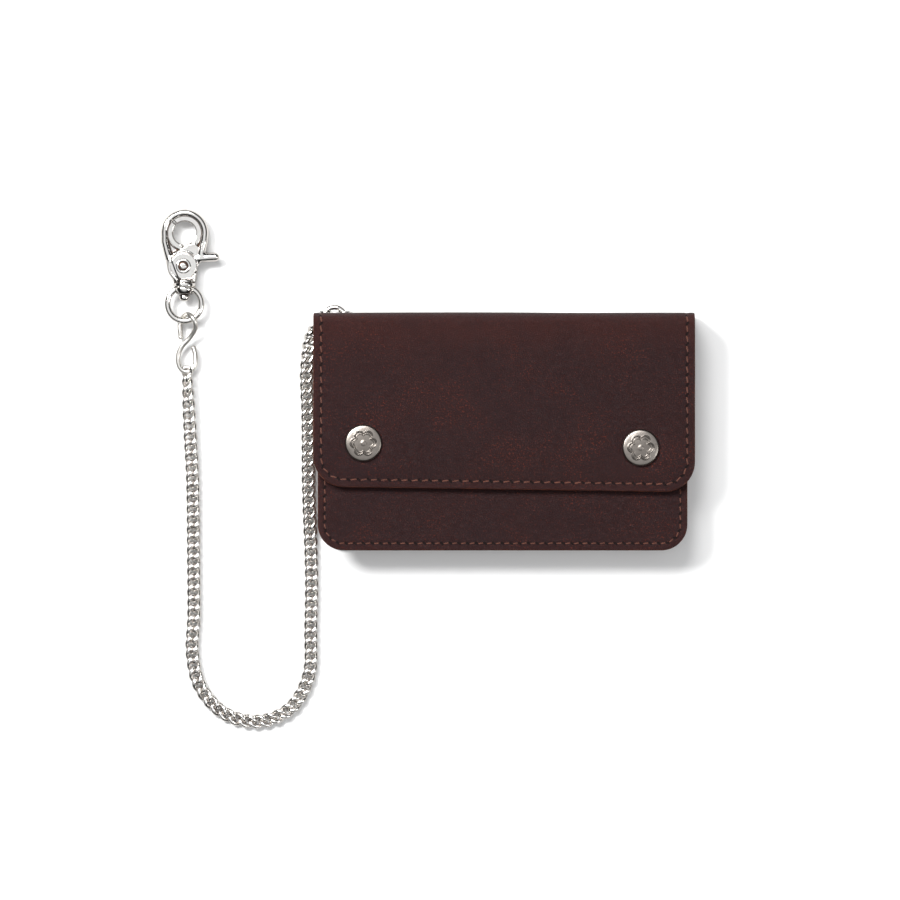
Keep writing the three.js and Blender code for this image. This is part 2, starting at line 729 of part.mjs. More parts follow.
/** The pull: a flat tab with an eye round the slider's pin and a round hole in its tail. */
function zipPull() {
  const eyeHalf = earInner - 0.3;
  const eye = turnedZ(rod(PULL_EYE_R, ZIP_Z - eyeHalf, ZIP_Z + eyeHalf), [SLIDER_REST, pivotY], 16);
  const neckX = SLIDER_REST - 2.4;
  const half = PULL_THICKNESS / 2;
  const neck = block(
    [neckX - 0.5, pivotY - half, ZIP_Z - eyeHalf],
    [SLIDER_REST, pivotY + half, ZIP_Z + eyeHalf],
  );
  const tail = rounded([
    [neckX, ZIP_Z - PULL_WIDTH / 2],
    [neckX, ZIP_Z + PULL_WIDTH / 2],
    [SLIDER_REST - PULL_LENGTH, ZIP_Z + PULL_WIDTH / 2, 1.6],
    [SLIDER_REST - PULL_LENGTH, ZIP_Z - PULL_WIDTH / 2, 1.6],
  ]);
  const tab = barAlongY(tail, pivotY - half, pivotY + half);
  const pin = turnedZ(rod(PIN_R + 0.15, ZIP_Z - PULL_WIDTH, ZIP_Z + PULL_WIDTH), [SLIDER_REST, pivotY], 12);
  const tailHole = turnedY(
    rod(1.1, pivotY - PULL_WIDTH, pivotY + PULL_WIDTH),
    [SLIDER_REST - PULL_LENGTH + 2.8, ZIP_Z],
    12,
  );
  return cut(join(eye, neck, tab), pin, tailHole);
}

add('zip_slider', slider(), zipBrass());
add('zip_pull', zipPull(), zipBrass());

// ---------------------------------------------------------------- chain and S-hook

const CHAIN_ROUTE = [
  [-137.9, 24.0, 3.1],
  [-137.4, 13.7, 3.1],
  [-136.5, -3.7, 2.8],
  [-135.6, -21.0, 2.2],
  [-135.2, -55.8, 1.9],
  [-135.1, -80.5, 1.9],
  [-135.7, -97.0, 1.9],
  [-132.1, -111.6, 1.9],
  [-121.4, -123.0, 1.9],
  [-106.5, -126.3, 1.9],
  [-93.0, -120.6, 1.9],
  [-85.0, -106.5, 1.9],
  [-84.1, -85.7, 1.9],
  [-83.8, -62.0, 1.9],
  [-85.1, -25.0, 1.9],
  [-85.4, 8.0, 1.9],
  [-86.0, 23.9, 2.1],
  [-85.5, 32.5, 3.4],
  [-84.6, 38.5, 5.8],
  [-83.0, 43.0, 8.6],
  [-80.6, 45.4, 10.9],
];

/** The chain's envelope: an eight-sided section, wider than it is high, along its route. */
function chainEnvelope() {
  const section = [];
  for (let i = 0; i < 8; i += 1) {
    const angle = Math.PI / 8 + (Math.PI * i) / 4;
    const reach = 1 / Math.cos(Math.PI / 8);
    section.push(new THREE.Vector2(
      CHAIN_HALF_WIDTH * reach * Math.cos(angle),
      CHAIN_HALF_HEIGHT * reach * Math.sin(angle),
    ));
  }
  return new THREE.ExtrudeGeometry(new THREE.Shape(section), {
    steps: CHAIN_STEPS,
    bevelEnabled: false,
    extrudePath: new LevelCurve(vectors(CHAIN_ROUTE), false, 'centripetal'),
  });
}

add('chain', chainEnvelope(), nickel());

const underWire = CLASP_Z - SWIVEL_RING_WIRE_R - LINK_WIRE_R - 0.35;
const overWire = CLASP_Z + SWIVEL_RING_WIRE_R + LINK_WIRE_R + 0.35;
const S_HOOK_LINE = [
  [-140.6, 40.2, 2.4],
  [-141.1, 44.4, underWire],
  [-140.7, 48.4, underWire],
  [-137.9, 51.1, CLASP_Z],
  [-134.9, 49.0, overWire],
  [-134.2, 45.2, 6.4],
  [-136.6, 41.0, 4.6],
  [-140.4, 36.8, 3.6],
  [-142.0, 31.8, 3.1],
  [-140.5, 27.2, 3.1],
  [-137.6, 26.0, 3.1],
  [-134.9, 28.2, 3.1],
  [-134.3, 33.0, 3.0],
  [-135.4, 37.4, 2.4],
];
add('s_hook', wire(
  new THREE.CatmullRomCurve3(vectors(S_HOOK_LINE), false, 'centripetal'),
  LINK_WIRE_R,
  8,
  40,
), nickel());

// ---------------------------------------------------------------- clasp

/** Swivel ring: a round wire ring whose top runs into a flat-topped boss with the post's bore. */
function swivelRing() {
  const ring = new THREE.TorusGeometry(SWIVEL_RING_R, SWIVEL_RING_WIRE_R, 10, 32)
    .translate(CLASP_X, SWIVEL_RING_Y, CLASP_Z);
  const boss = turnedY(rod(BOSS_R, BOSS_LOW, BOSS_TOP), [CLASP_X, CLASP_Z]);
  const reach = SWIVEL_RING_R + 2 * SWIVEL_RING_WIRE_R;
  const above = block(
    [CLASP_X - reach, BOSS_TOP, CLASP_Z - reach],
    [CLASP_X + reach, BOSS_TOP + reach, CLASP_Z + reach],
  );
  const bore = turnedY(rod(POST_R + POST_CLEARANCE, BOSS_LOW - 2, BOSS_TOP + 2), [CLASP_X, CLASP_Z]);
  return cut(join(ring, boss), above, bore);
}

/** Swivel post: a mushroom head inside the ring, with a shank up into the collar. */
function swivelPost() {
  const top = COLLAR_TOP - 0.8;
  const headTop = BOSS_LOW - POST_HEAD_GAP;
  const headLow = headTop - POST_HEAD;
  return turnedY([
    [0, headLow],
    [POST_HEAD_R * 0.7, headLow],
    [POST_HEAD_R, headLow + 0.9],
    [POST_HEAD_R, headTop],
    [POST_R, headTop],
    [POST_R, top],
    [0, top],
  ], [CLASP_X, CLASP_Z]);
}

add('swivel_ring', swivelRing(), nickel());
add('swivel_post', swivelPost(), nickel());

const claspLow = CLASP_Z - CLASP_HALF_THICKNESS;
const claspHigh = CLASP_Z + CLASP_HALF_THICKNESS;
const seamZ = CLASP_Z - 0.1; // the jaw's plate lies on the housing's here
const disc = (place, radius) => sector(place, 0, radius, 0, 360, 24).slice(0, 24);
const onHook = (radius, degrees) => {
  const angle = THREE.MathUtils.degToRad(degrees);
  return [HOOK[0] + radius * Math.cos(angle), HOOK[1] + radius * Math.sin(angle)];
};
const outline = (points) => points.map(([x, y]) => new THREE.Vector2(x, y));

/** Housing: collar, cheek under the jaw's plate, straight strip and the hook's left side. */
function claspHousing() {
  const split = HOOK_SPLIT + SPLIT_HALF_GAP;
  const notch = HOOK_NOTCH - 7;
  const armR = HOOK_HOLE_R + 3.4;
  const collarHalf = COLLAR_R - 0.2;
  const cheek = outline([
    onHook(HOOK_R, 180),
    [CLASP_X - collarHalf, COLLAR_TOP],
    [CLASP_X + collarHalf, COLLAR_TOP],
    [PIVOT[0] + 3.9, PIVOT[1] - 3.9],
    [PIVOT[0] + 5.4, PIVOT[1]],
    [PIVOT[0] + 3.9, PIVOT[1] + 3.9],
    [PIVOT[0] + 0.4, PIVOT[1] + 5.4],
    onHook(armR, notch),
    onHook(armR, 225),
  ]);
  const strip = outline([
    onHook(HOOK_R, 180),
    [CLASP_X - collarHalf, COLLAR_TOP],
    [CLASP_X - collarHalf + 2.6, COLLAR_TOP],
    onHook(HOOK_R - 2.6, 183),
  ]);
  const low = join(
    plate(cheek, claspLow, seamZ),
    plate(sector(HOOK, HOOK_HOLE_R, armR, split, notch), claspLow, claspHigh),
    plate(sector(HOOK, armR - 0.5, HOOK_R, split, 190, 8), claspLow, claspHigh),
    plate(strip, claspLow, claspHigh),
  );
  const collar = turnedY(rod(COLLAR_R, COLLAR_LOW, COLLAR_TOP), [CLASP_X, CLASP_Z]);
  const jawRoom = plate(disc(PIVOT, PIVOT_PLATE_R + PIVOT_CLEARANCE), seamZ, claspHigh + 1);
  const jawRoomInside = cut(jawRoom, block(
    [PIVOT[0] - 10, COLLAR_LOW, claspLow],
    [PIVOT[0] + 10, COLLAR_TOP + 0.2, claspHigh + 2],
  ));
  const springRoom = turnedZ(rod(SPRING_R + 1, seamZ - 1.5, seamZ + 1), PIVOT);
  const rivetHole = turnedZ(rod(RIVET_R + POST_CLEARANCE, claspLow - 1, seamZ + 1), PIVOT);
  const postHole = turnedY(
    rod(POST_R + POST_CLEARANCE, COLLAR_LOW - 1, COLLAR_TOP - 0.5),
    [CLASP_X, CLASP_Z],
  );
  return cut(join(low, collar), jawRoomInside, springRoom, rivetHole, postHole);
}

/** Jaw: plate round the pivot, neck, the hook's top and right side, and the thumb lever. */
function claspJaw() {
  const split = HOOK_SPLIT - SPLIT_HALF_GAP;
  const notch = HOOK_NOTCH - 360 + 6;
  const arm = sector(HOOK, HOOK_HOLE_R, HOOK_R, notch + 55, split, 20);
  const neck = outline([
    [PIVOT[0] + 1.3, PIVOT[1] + 4],
    [PIVOT[0] + 1.3, onHook(HOOK_HOLE_R, notch)[1]],
    onHook(HOOK_HOLE_R + 0.05, notch + 20),
    onHook(HOOK_HOLE_R + 0.05, notch + 50),
    onHook(HOOK_HOLE_R + 0.05, notch + 75),
    onHook(HOOK_R, notch + 75),
    [PIVOT[0] + 9.2, PIVOT[1] + 6.5],
    [PIVOT[0] + 7.3, PIVOT[1] + 1.7],
    [PIVOT[0] + 4.9, PIVOT[1] - 2.8],
    [PIVOT[0], PIVOT[1]],
  ]);
  const leverY = PIVOT[1] + LEVER_OVER_PIVOT;
  const leverTip = PIVOT[0] + LEVER_REACH;
  const lever = rounded([
    [PIVOT[0] + 6, leverY + LEVER_HALF_HEIGHT],
    [PIVOT[0] + 6, leverY - LEVER_HALF_HEIGHT],
    [leverTip, leverY - LEVER_HALF_HEIGHT, 1.5],
    [leverTip, leverY + LEVER_HALF_HEIGHT, 1.5],
  ]);
  const full = join(
    plate(arm, claspLow, claspHigh),
    plate(neck, claspLow, claspHigh),
    plate(lever, claspLow + 0.6, claspHigh - 0.6),
  );
  const cheekRoom = plate(disc(PIVOT, PIVOT_PLATE_R + 0.2), claspLow - 1, seamZ + LAYER_GAP);
  const pivotPlate = plate(disc(PIVOT, PIVOT_PLATE_R), seamZ + LAYER_GAP, claspHigh);
  const rivetHole = turnedZ(rod(RIVET_R + POST_CLEARANCE, claspLow - 2, claspHigh + 1), PIVOT);
  return cut(join(cut(full, cheekRoom), pivotPlate), rivetHole);
}

/** Rivet: a domed head over the jaw, and a flat one under the housing. */
function pivotRivet() {
  const top = claspHigh + LAYER_GAP;
  const low = claspLow - LAYER_GAP;
  return turnedZ([
    [0, low - 0.7],
    [RIVET_HEAD_R * 0.8, low - 0.7],
    [RIVET_HEAD_R * 0.8, low],
    [RIVET_R, low],
    [RIVET_R, top],
    [RIVET_HEAD_R, top],
    [RIVET_HEAD_R * 0.8, top + 0.7],
    [0, top + 0.9],
  ], PIVOT);
}

/** Torsion spring: a short coil round the rivet, in the housing's recess. */
class Coil extends THREE.Curve {
  getPoint(t, target = new THREE.Vector3()) {
    const angle = 2 * Math.PI * SPRING_TURNS * t;
    const z = seamZ - 1.1 + 0.85 * t;
    return target.set(PIVOT[0] + SPRING_R * Math.cos(angle), PIVOT[1] + SPRING_R * Math.sin(angle), z);
  }
}

add('clasp_housing', claspHousing(), nickel());
add('clasp_jaw', claspJaw(), nickel());
add('pivot_rivet', pivotRivet(), nickel());
add('clasp_spring', wire(new Coil(), SPRING_WIRE_R, 6, 20), nickel());

export default wallet;
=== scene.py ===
"""Chain wallet: the looks of every piece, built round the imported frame. Metres, +Z up."""

import logging
import math
from dataclasses import dataclass, field
from enum import Enum

import bmesh
import bpy
import numpy as np
import openvdb
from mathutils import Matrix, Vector, noise


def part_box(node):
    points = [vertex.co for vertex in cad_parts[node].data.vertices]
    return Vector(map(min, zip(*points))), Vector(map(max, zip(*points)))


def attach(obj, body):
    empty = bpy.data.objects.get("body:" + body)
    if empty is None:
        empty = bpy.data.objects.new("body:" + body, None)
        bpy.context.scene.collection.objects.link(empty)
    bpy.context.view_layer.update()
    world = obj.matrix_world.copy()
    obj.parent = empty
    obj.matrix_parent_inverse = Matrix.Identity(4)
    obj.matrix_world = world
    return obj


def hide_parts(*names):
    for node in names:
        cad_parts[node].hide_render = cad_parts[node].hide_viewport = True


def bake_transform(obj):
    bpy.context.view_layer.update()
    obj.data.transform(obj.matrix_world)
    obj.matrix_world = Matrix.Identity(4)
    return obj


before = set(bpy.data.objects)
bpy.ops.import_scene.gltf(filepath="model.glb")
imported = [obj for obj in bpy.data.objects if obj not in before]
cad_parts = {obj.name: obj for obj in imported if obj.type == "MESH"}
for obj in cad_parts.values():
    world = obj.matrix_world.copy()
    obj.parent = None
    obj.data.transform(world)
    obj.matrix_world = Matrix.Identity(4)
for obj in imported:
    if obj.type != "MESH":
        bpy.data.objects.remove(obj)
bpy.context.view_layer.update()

Array = np.ndarray
MM = 0.001
COORDS = "rest"  # attribute that holds where a point lies on the flat leather or metal
MASK = "wear_oxide_and_painted_light"  # attribute that holds how deep or how near an edge a point lies: edge wear and a painted highlight along the fold on leather, painted shade in recesses on metal, oxide in the hollows of antique nickel

log = logging.getLogger("chain_wallet")


# ---------------------------------------------------------------- frame sizes

def low(node: str, axis: int) -> float:
    """The lowest coordinate of a frame node along one axis."""
    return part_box(node)[0][axis]


def high(node: str, axis: int) -> float:
    """The highest coordinate of a frame node along one axis."""
    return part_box(node)[1][axis]


def middle(node: str) -> Vector:
    """The centre of a frame node's box."""
    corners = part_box(node)
    return (corners[0] + corners[1]) / 2


@dataclass(frozen=True)
class Layers:
    """Heights and edges that the leather pieces share, read from the frame."""

    left: float = low("flap_outer", 0)
    right: float = high("flap_outer", 0)
    body_left: float = low("front_panel", 0)
    body_right: float = high("front_panel", 0)
    bottom: float = low("back_panel", 1)
    fold: float = high("spine_fold", 1)
    mouth: float = high("front_panel", 1)
    panel_top: float = high("flap_lining", 1)
    gusset_top: float = high("gusset_left", 1)
    hide: float = high("back_panel", 2)
    front_low: float = low("front_panel", 2)
    front_high: float = high("front_panel", 2)
    lining_low: float = low("flap_lining", 2)
    lining_high: float = high("flap_lining", 2)
    top: float = high("flap_outer", 2)
    fold_radius: float = 5 * MM
    body_corner: float = 11.3 * MM
    flap_corner: float = 13.2 * MM
    flap_low_left: float = -23.9 * MM
    flap_low_right: float = -26.3 * MM
    flap_stitch_inset: float = 3.4 * MM
    body_stitch_inset: float = 3.1 * MM

    @property
    def fold_start(self) -> float:
        """Where the flat leather turns into the fold."""
        return self.fold - self.fold_radius

    @property
    def seam(self) -> float:
        """The height where the two halves of the fold's leather meet."""
        return self.top / 2


LAYERS = Layers()


# ---------------------------------------------------------------- shader building

class Tree:
    """Adds and links the nodes of one shader tree."""

    def __init__(self, tree: bpy.types.NodeTree) -> None:
        """Keeps the tree to build in."""
        self.tree = tree

    def add(self, kind: str, values: dict | None = None, **settings: object) -> bpy.types.Node:
        """Adds a node.

        Args:
            kind: the node's type, without its ShaderNode prefix.
            values: for each input, by name or index, a constant or a socket to link.
            settings: the node's own properties.

        Returns:
            The node.
        """
        node = self.tree.nodes.new("ShaderNode" + kind)
        for name, value in settings.items():
            setattr(node, name, value)
        self.set_inputs(node, values or {})
        return node

    def set_inputs(self, node: bpy.types.Node, values: dict) -> None:
        """Links or sets a node's inputs, by name or index."""
        for name, value in values.items():
            if isinstance(value, bpy.types.NodeSocket):
                self.tree.links.new(value, node.inputs[name])
            else:
                node.inputs[name].default_value = value

    def math(self, operation: str, a: object, b: object = 0.0) -> bpy.types.NodeSocket:
        """The result of a math node on two numbers or sockets."""
        return self.add("Math", {0: a, 1: b}, operation=operation).outputs[0]

    def ramp(self, value: object, start: float, end: float, low_out: float = 0.0,
             high_out: float = 1.0) -> bpy.types.NodeSocket:
        """Maps a value from start..end smoothly to low_out..high_out, and holds it outside."""
        return self.add("MapRange", {0: value, 1: start, 2: end, 3: low_out, 4: high_out},
                        interpolation_type="SMOOTHSTEP").outputs[0]

    def mix(self, share: object, a: object, b: object) -> bpy.types.NodeSocket:
        """Mixes two colours."""
        return self.add("Mix", {0: share, 6: a, 7: b}, data_type="RGBA").outputs[2]

    def noise(self, vector: object, scale: object, detail: float = 2.0,
              roughness: float = 0.5) -> bpy.types.NodeSocket:
        """A noise texture's value."""
        values = {"Vector": vector, "Scale": scale, "Detail": detail, "Roughness": roughness}
        return self.add("TexNoise", values).outputs[0]

    def cells(self, vector: object, scale: object, feature: str) -> bpy.types.NodeSocket:
        """A Voronoi texture's distance."""
        return self.add("TexVoronoi", {"Vector": vector, "Scale": scale}, feature=feature).outputs[0]

    def stretch(self, vector: object, scale: tuple[float, float, float],
                turn: float = 0.0) -> bpy.types.NodeSocket:
        """A vector turned about Z and scaled on each axis."""
        values = {0: vector, 2: (0.0, 0.0, turn), 3: scale}
        return self.add("Mapping", values).outputs[0]

    def group(self, group: bpy.types.NodeTree, values: dict) -> bpy.types.Node:
        """Places a node group with its own values.

        Args:
            group: the node group.
            values: a constant or a socket for each of its inputs.

        Returns:
            The node that holds it.
        """
        node = self.tree.nodes.new("ShaderNodeGroup")
        node.node_tree = group
        self.set_inputs(node, values)
        return node


class Kind(Enum):
    """The kinds of socket that the node groups have."""

    FLOAT = "NodeSocketFloat"
    COLOR = "NodeSocketColor"
    VECTOR = "NodeSocketVector"


def new_group(name: str, inputs: dict[str, Kind], outputs: dict[str, Kind]
              ) -> tuple[Tree, bpy.types.Node, bpy.types.Node]:
    """Starts a shader node group.

    Args:
        name: the group's name.
        inputs: its input sockets.
        outputs: its output sockets.

    Returns:
        The tree, its input node and its output node.
    """
    group = bpy.data.node_groups.new(name, "ShaderNodeTree")
    for label, kind in inputs.items():
        group.interface.new_socket(label, in_out="INPUT", socket_type=kind.value)
    for label, kind in outputs.items():
        group.interface.new_socket(label, in_out="OUTPUT", socket_type=kind.value)
    tree = Tree(group)
    return tree, group.nodes.new("NodeGroupInput"), group.nodes.new("NodeGroupOutput")


def grain_group() -> bpy.types.NodeTree:
    """Leather grain: pebbled cells with fine creases between them, and soft wrinkles.

    Returns:
        The group's tree.
    """
    t, given, out = new_group(
        "leather_grain",
        {"Vector": Kind.VECTOR, "Cells": Kind.FLOAT, "Wrinkles": Kind.FLOAT},
        {"Height": Kind.FLOAT, "Crease": Kind.FLOAT},
    )
    where = given.outputs["Vector"]
    warp = t.add("TexNoise", {"Vector": where, "Scale": 420.0, "Detail": 2.0}).outputs[1]
    moved = t.add("VectorMath", {0: warp, 1: (0.0011, 0.0011, 0.0011)}, operation="MULTIPLY")
    bent = t.add("VectorMath", {0: where, 1: moved.outputs[0]}, operation="ADD").outputs[0]
    pebble = t.cells(bent, given.outputs["Cells"], "DISTANCE_TO_EDGE")
    finer = t.math("MULTIPLY", given.outputs["Cells"], 2.3)
    small = t.cells(bent, finer, "DISTANCE_TO_EDGE")
    crease = t.ramp(pebble, 0.0, 0.22)
    rough = t.noise(where, 5200.0, 3.0)
    wrinkle = t.noise(t.stretch(where, (1.0, 2.2, 1.0)), 260.0, 3.0)
    height = t.math("ADD", t.math("MULTIPLY", crease, 0.5), t.math("MULTIPLY", t.ramp(small, 0.0, 0.3), 0.22))
    height = t.math("ADD", height, t.math("MULTIPLY", rough, 0.2))
    height = t.math("ADD", height, t.math("MULTIPLY", wrinkle, given.outputs["Wrinkles"]))
    t.tree.links.new(height, out.inputs["Height"])
    t.tree.links.new(crease, out.inputs["Crease"])
    return t.tree


def tone_group() -> bpy.types.NodeTree:
    """Tone of an uneven surface: two tones in soft clouds, with sparse flecks of a third.

    Returns:
        The group's tree.
    """
    t, given, out = new_group(
        "uneven_tone",
        {"Vector": Kind.VECTOR, "Scale": Kind.FLOAT, "Deep": Kind.COLOR, "Light": Kind.COLOR,
         "Fleck": Kind.COLOR, "Flecks": Kind.FLOAT},
        {"Color": Kind.COLOR, "Fleck mask": Kind.FLOAT},
    )
    where = given.outputs["Vector"]
    scale = given.outputs["Scale"]
    cloud = t.ramp(t.noise(where, scale, 9.0, 0.74), 0.34, 0.66)
    base = t.mix(cloud, given.outputs["Deep"], given.outputs["Light"])
    patches = t.ramp(t.noise(where, t.math("MULTIPLY", scale, 1.7), 3.0), 0.44, 0.70)
    grit = t.ramp(t.noise(where, t.math("MULTIPLY", scale, 46.0), 4.0, 0.75), 0.54, 0.64)
    spread = t.math("ADD", t.math("MULTIPLY", patches, 0.7), 0.3)
    fleck = t.math("MULTIPLY", t.math("MULTIPLY", spread, grit), given.outputs["Flecks"])
    t.tree.links.new(t.mix(fleck, base, given.outputs["Fleck"]), out.inputs["Color"])
    t.tree.links.new(fleck, out.inputs["Fleck mask"])
    return t.tree


def rub_group() -> bpy.types.NodeTree:
    """Fine rubbing on metal: hair scratches in two directions and a cloudy smear.

    Returns:
        The group's tree.
    """
    t, given, out = new_group(
        "metal_rub",
        {"Vector": Kind.VECTOR, "Scratches": Kind.FLOAT},
        {"Mask": Kind.FLOAT, "Height": Kind.FLOAT},
    )
    where = given.outputs["Vector"]
    one = t.noise(t.stretch(where, (900.0, 9000.0, 9000.0), 0.5), 1.0, 2.0)
    two = t.noise(t.stretch(where, (9000.0, 900.0, 9000.0), 0.3), 1.0, 2.0)
    smear = t.noise(where, 260.0, 3.0)
    hair = t.math("ADD", t.ramp(one, 0.58, 0.80), t.ramp(two, 0.60, 0.82))
    mask = t.math("ADD", t.math("MULTIPLY", hair, given.outputs["Scratches"]),
                  t.math("MULTIPLY", smear, 0.5))
    t.tree.links.new(mask, out.inputs["Mask"])
    t.tree.links.new(t.math("MULTIPLY", hair, -1.0), out.inputs["Height"])
    return t.tree


def twill_group() -> bpy.types.NodeTree:
    """Twisted or woven yarn: slanted ridges across the yarn, with loose fibres.

    Returns:
        The group's tree.
    """
    t, given, out = new_group(
        "yarn_twist",
        {"Vector": Kind.VECTOR, "Ridges": Kind.FLOAT},
        {"Height": Kind.FLOAT},
    )
    parts = t.add("SeparateXYZ", {0: given.outputs["Vector"]})
    slant = t.math("ADD", parts.outputs[0], parts.outputs[1])
    wave = t.math("SINE", t.math("MULTIPLY", slant, given.outputs["Ridges"]))
    fibre = t.noise(given.outputs["Vector"], 4200.0, 3.0)
    height = t.math("ADD", t.math("MULTIPLY", wave, 0.5), t.math("MULTIPLY", fibre, 0.45))
    t.tree.links.new(height, out.inputs["Height"])
    return t.tree


class Effects:
    """The node groups that more than one finish uses, each built once."""

    grain = grain_group()
    tone = tone_group()
    rub = rub_group()
    twist = twill_group()


# ---------------------------------------------------------------- finishes

RGB = tuple[float, float, float]


def rgba(colour: RGB) -> tuple[float, float, float, float]:
    """A colour with full alpha."""
    return (*colour, 1.0)


BUILT: dict["Finish", bpy.types.Material] = {}


@dataclass(frozen=True)
class Finish:
    """What every finish has: its name, and the shader that it starts from."""

    name: str

    def start(self) -> tuple[bpy.types.Material, Tree, bpy.types.Node, bpy.types.NodeSocket]:
        """Makes the material.

        Returns:
            The material, its tree, its shader and the socket of the pieces' own coordinates.
        """
        made = bpy.data.materials.new(self.name)
        made.use_nodes = True
        tree = Tree(made.node_tree)
        shader = made.node_tree.nodes["Principled BSDF"]
        where = tree.add("Attribute", attribute_name=COORDS).outputs["Vector"]
        return made, tree, shader, where

    def material(self) -> bpy.types.Material:
        """The material, built on first use."""
        if self not in BUILT:
            BUILT[self] = self.build()
        return BUILT[self]

    def build(self) -> bpy.types.Material:
        """Builds the material."""
        raise NotImplementedError


@dataclass(frozen=True)
class Leather(Finish):
    """Oiled leather: grain, uneven tone, lighter pull-up flecks, warmer on its worn edges, a painted
    highlight in a band along the fold, and painted shade in its grain creases.
    """

    deep: RGB = (0.0185, 0.0050, 0.0058)
    light: RGB = (0.0235, 0.0056, 0.0056)
    fleck: RGB = (0.260, 0.046, 0.018)
    flecks: float = 0.58
    # edge: the colour of the worn edges, and of the painted highlight in the band along the fold
    edge: RGB = (0.044, 0.0084, 0.0060)
    roughness: float = 0.44
    cells: float = 1500.0
    depth: float = 0.00028
    wrinkles: float = 0.5
    sheen: float = 0.03
    shine: float = 0.21

    def build(self) -> bpy.types.Material:
        """Builds the leather.

        Returns:
            The material.
        """
        made, t, shader, where = self.start()
        wear_oxide_and_painted_light = t.add("Attribute", attribute_name=MASK).outputs["Fac"]
        tone = t.group(Effects.tone, {
            "Vector": where, "Scale": 24.0, "Deep": rgba(self.deep), "Light": rgba(self.light),
            "Fleck": rgba(self.fleck), "Flecks": self.flecks})
        grain = t.group(Effects.grain, {"Vector": where, "Cells": self.cells, "Wrinkles": self.wrinkles})
        # the mask brings in the edge colour: wear on the edges, a painted highlight in the band along the
        # fold
        patchy = t.math("MULTIPLY", wear_oxide_and_painted_light, t.ramp(t.noise(where, 90.0, 4.0, 0.65), 0.3, 0.7, 0.45, 1.0))
        colour = t.mix(patchy, tone.outputs["Color"], rgba(self.edge))
        # painted shade in the grain's creases
        dark = t.math("MULTIPLY", t.math("SUBTRACT", 1.0, grain.outputs["Crease"]), 0.5)
        colour = t.mix(dark, colour, rgba(tuple(0.45 * part for part in self.deep)))
        rough = t.math("SUBTRACT", self.roughness + 0.1, t.math("MULTIPLY", grain.outputs["Crease"], 0.1))
        rough = t.math("ADD", rough, t.math("MULTIPLY", tone.outputs["Fleck mask"], 0.12))
        bump = t.add("Bump", {"Strength": 1.0, "Distance": self.depth, "Height": grain.outputs["Height"]})
        t.tree.links.new(colour, shader.inputs["Base Color"])
        t.tree.links.new(rough, shader.inputs["Roughness"])
        t.tree.links.new(bump.outputs[0], shader.inputs["Normal"])
        shader.inputs["Sheen Weight"].default_value = self.sheen
        shader.inputs["Sheen Roughness"].default_value = 0.45
        shader.inputs["Specular IOR Level"].default_value = self.shine
        return made


@dataclass(frozen=True)
class CutEdge(Finish):
    """Burnished cut edge: fibrous, banded along the leather's layers."""

    deep: RGB = (0.024, 0.0075, 0.0055)
    light: RGB = (0.100, 0.027, 0.012)

    def build(self) -> bpy.types.Material:
        """Builds the edge.

        Returns:
            The material.
        """
        made, t, shader, where = self.start()
        bands = t.noise(t.stretch(where, (220.0, 220.0, 4200.0)), 1.0, 4.0, 0.6)
        fibre = t.noise(where, 2600.0, 4.0, 0.7)
        blend = t.ramp(t.math("ADD", bands, t.math("MULTIPLY", fibre, 0.4)), 0.45, 0.95)
        t.tree.links.new(t.mix(blend, rgba(self.deep), rgba(self.light)), shader.inputs["Base Color"])
        bump = t.add("Bump", {"Strength": 0.8, "Distance": 0.0002, "Height": blend})
        t.tree.links.new(bump.outputs[0], shader.inputs["Normal"])
        t.tree.links.new(t.ramp(fibre, 0.2, 0.8, 0.38, 0.62), shader.inputs["Roughness"])
        shader.inputs["Specular IOR Level"].default_value = 0.18
        return made


@dataclass(frozen=True)
class Yarn(Finish):
    """Waxed thread or woven tape."""

    deep: RGB = (0.034, 0.012, 0.008)
    light: RGB = (0.250, 0.092, 0.060)
    ridges: float = 9000.0
    depth: float = 0.00012
    roughness: float = 0.62

    def build(self) -> bpy.types.Material:
        """Builds the yarn.

        Returns:
            The material.
        """
        made, t, shader, where = self.start()
        twist = t.group(Effects.twist, {"Vector": where, "Ridges": self.ridges})
        height = twist.outputs["Height"]
        dirt = t.ramp(t.noise(where, 240.0, 3.0), 0.3, 0.75, 0.0, 0.45)
        # lighter on the twist's ridges and darker in its grooves: painted light and shade
        colour = t.mix(t.ramp(height, -0.3, 0.6), rgba(self.deep), rgba(self.light))
        t.tree.links.new(t.mix(dirt, colour, rgba(self.deep)), shader.inputs["Base Color"])
        bump = t.add("Bump", {"Strength": 0.9, "Distance": self.depth, "Height": height})
        t.tree.links.new(bump.outputs[0], shader.inputs["Normal"])
        t.tree.links.new(t.ramp(height, -0.5, 0.8, self.roughness + 0.12, self.roughness),
                         shader.inputs["Roughness"])
        shader.inputs["Sheen Weight"].default_value = 0.10
        shader.inputs["Specular IOR Level"].default_value = 0.2
        return made


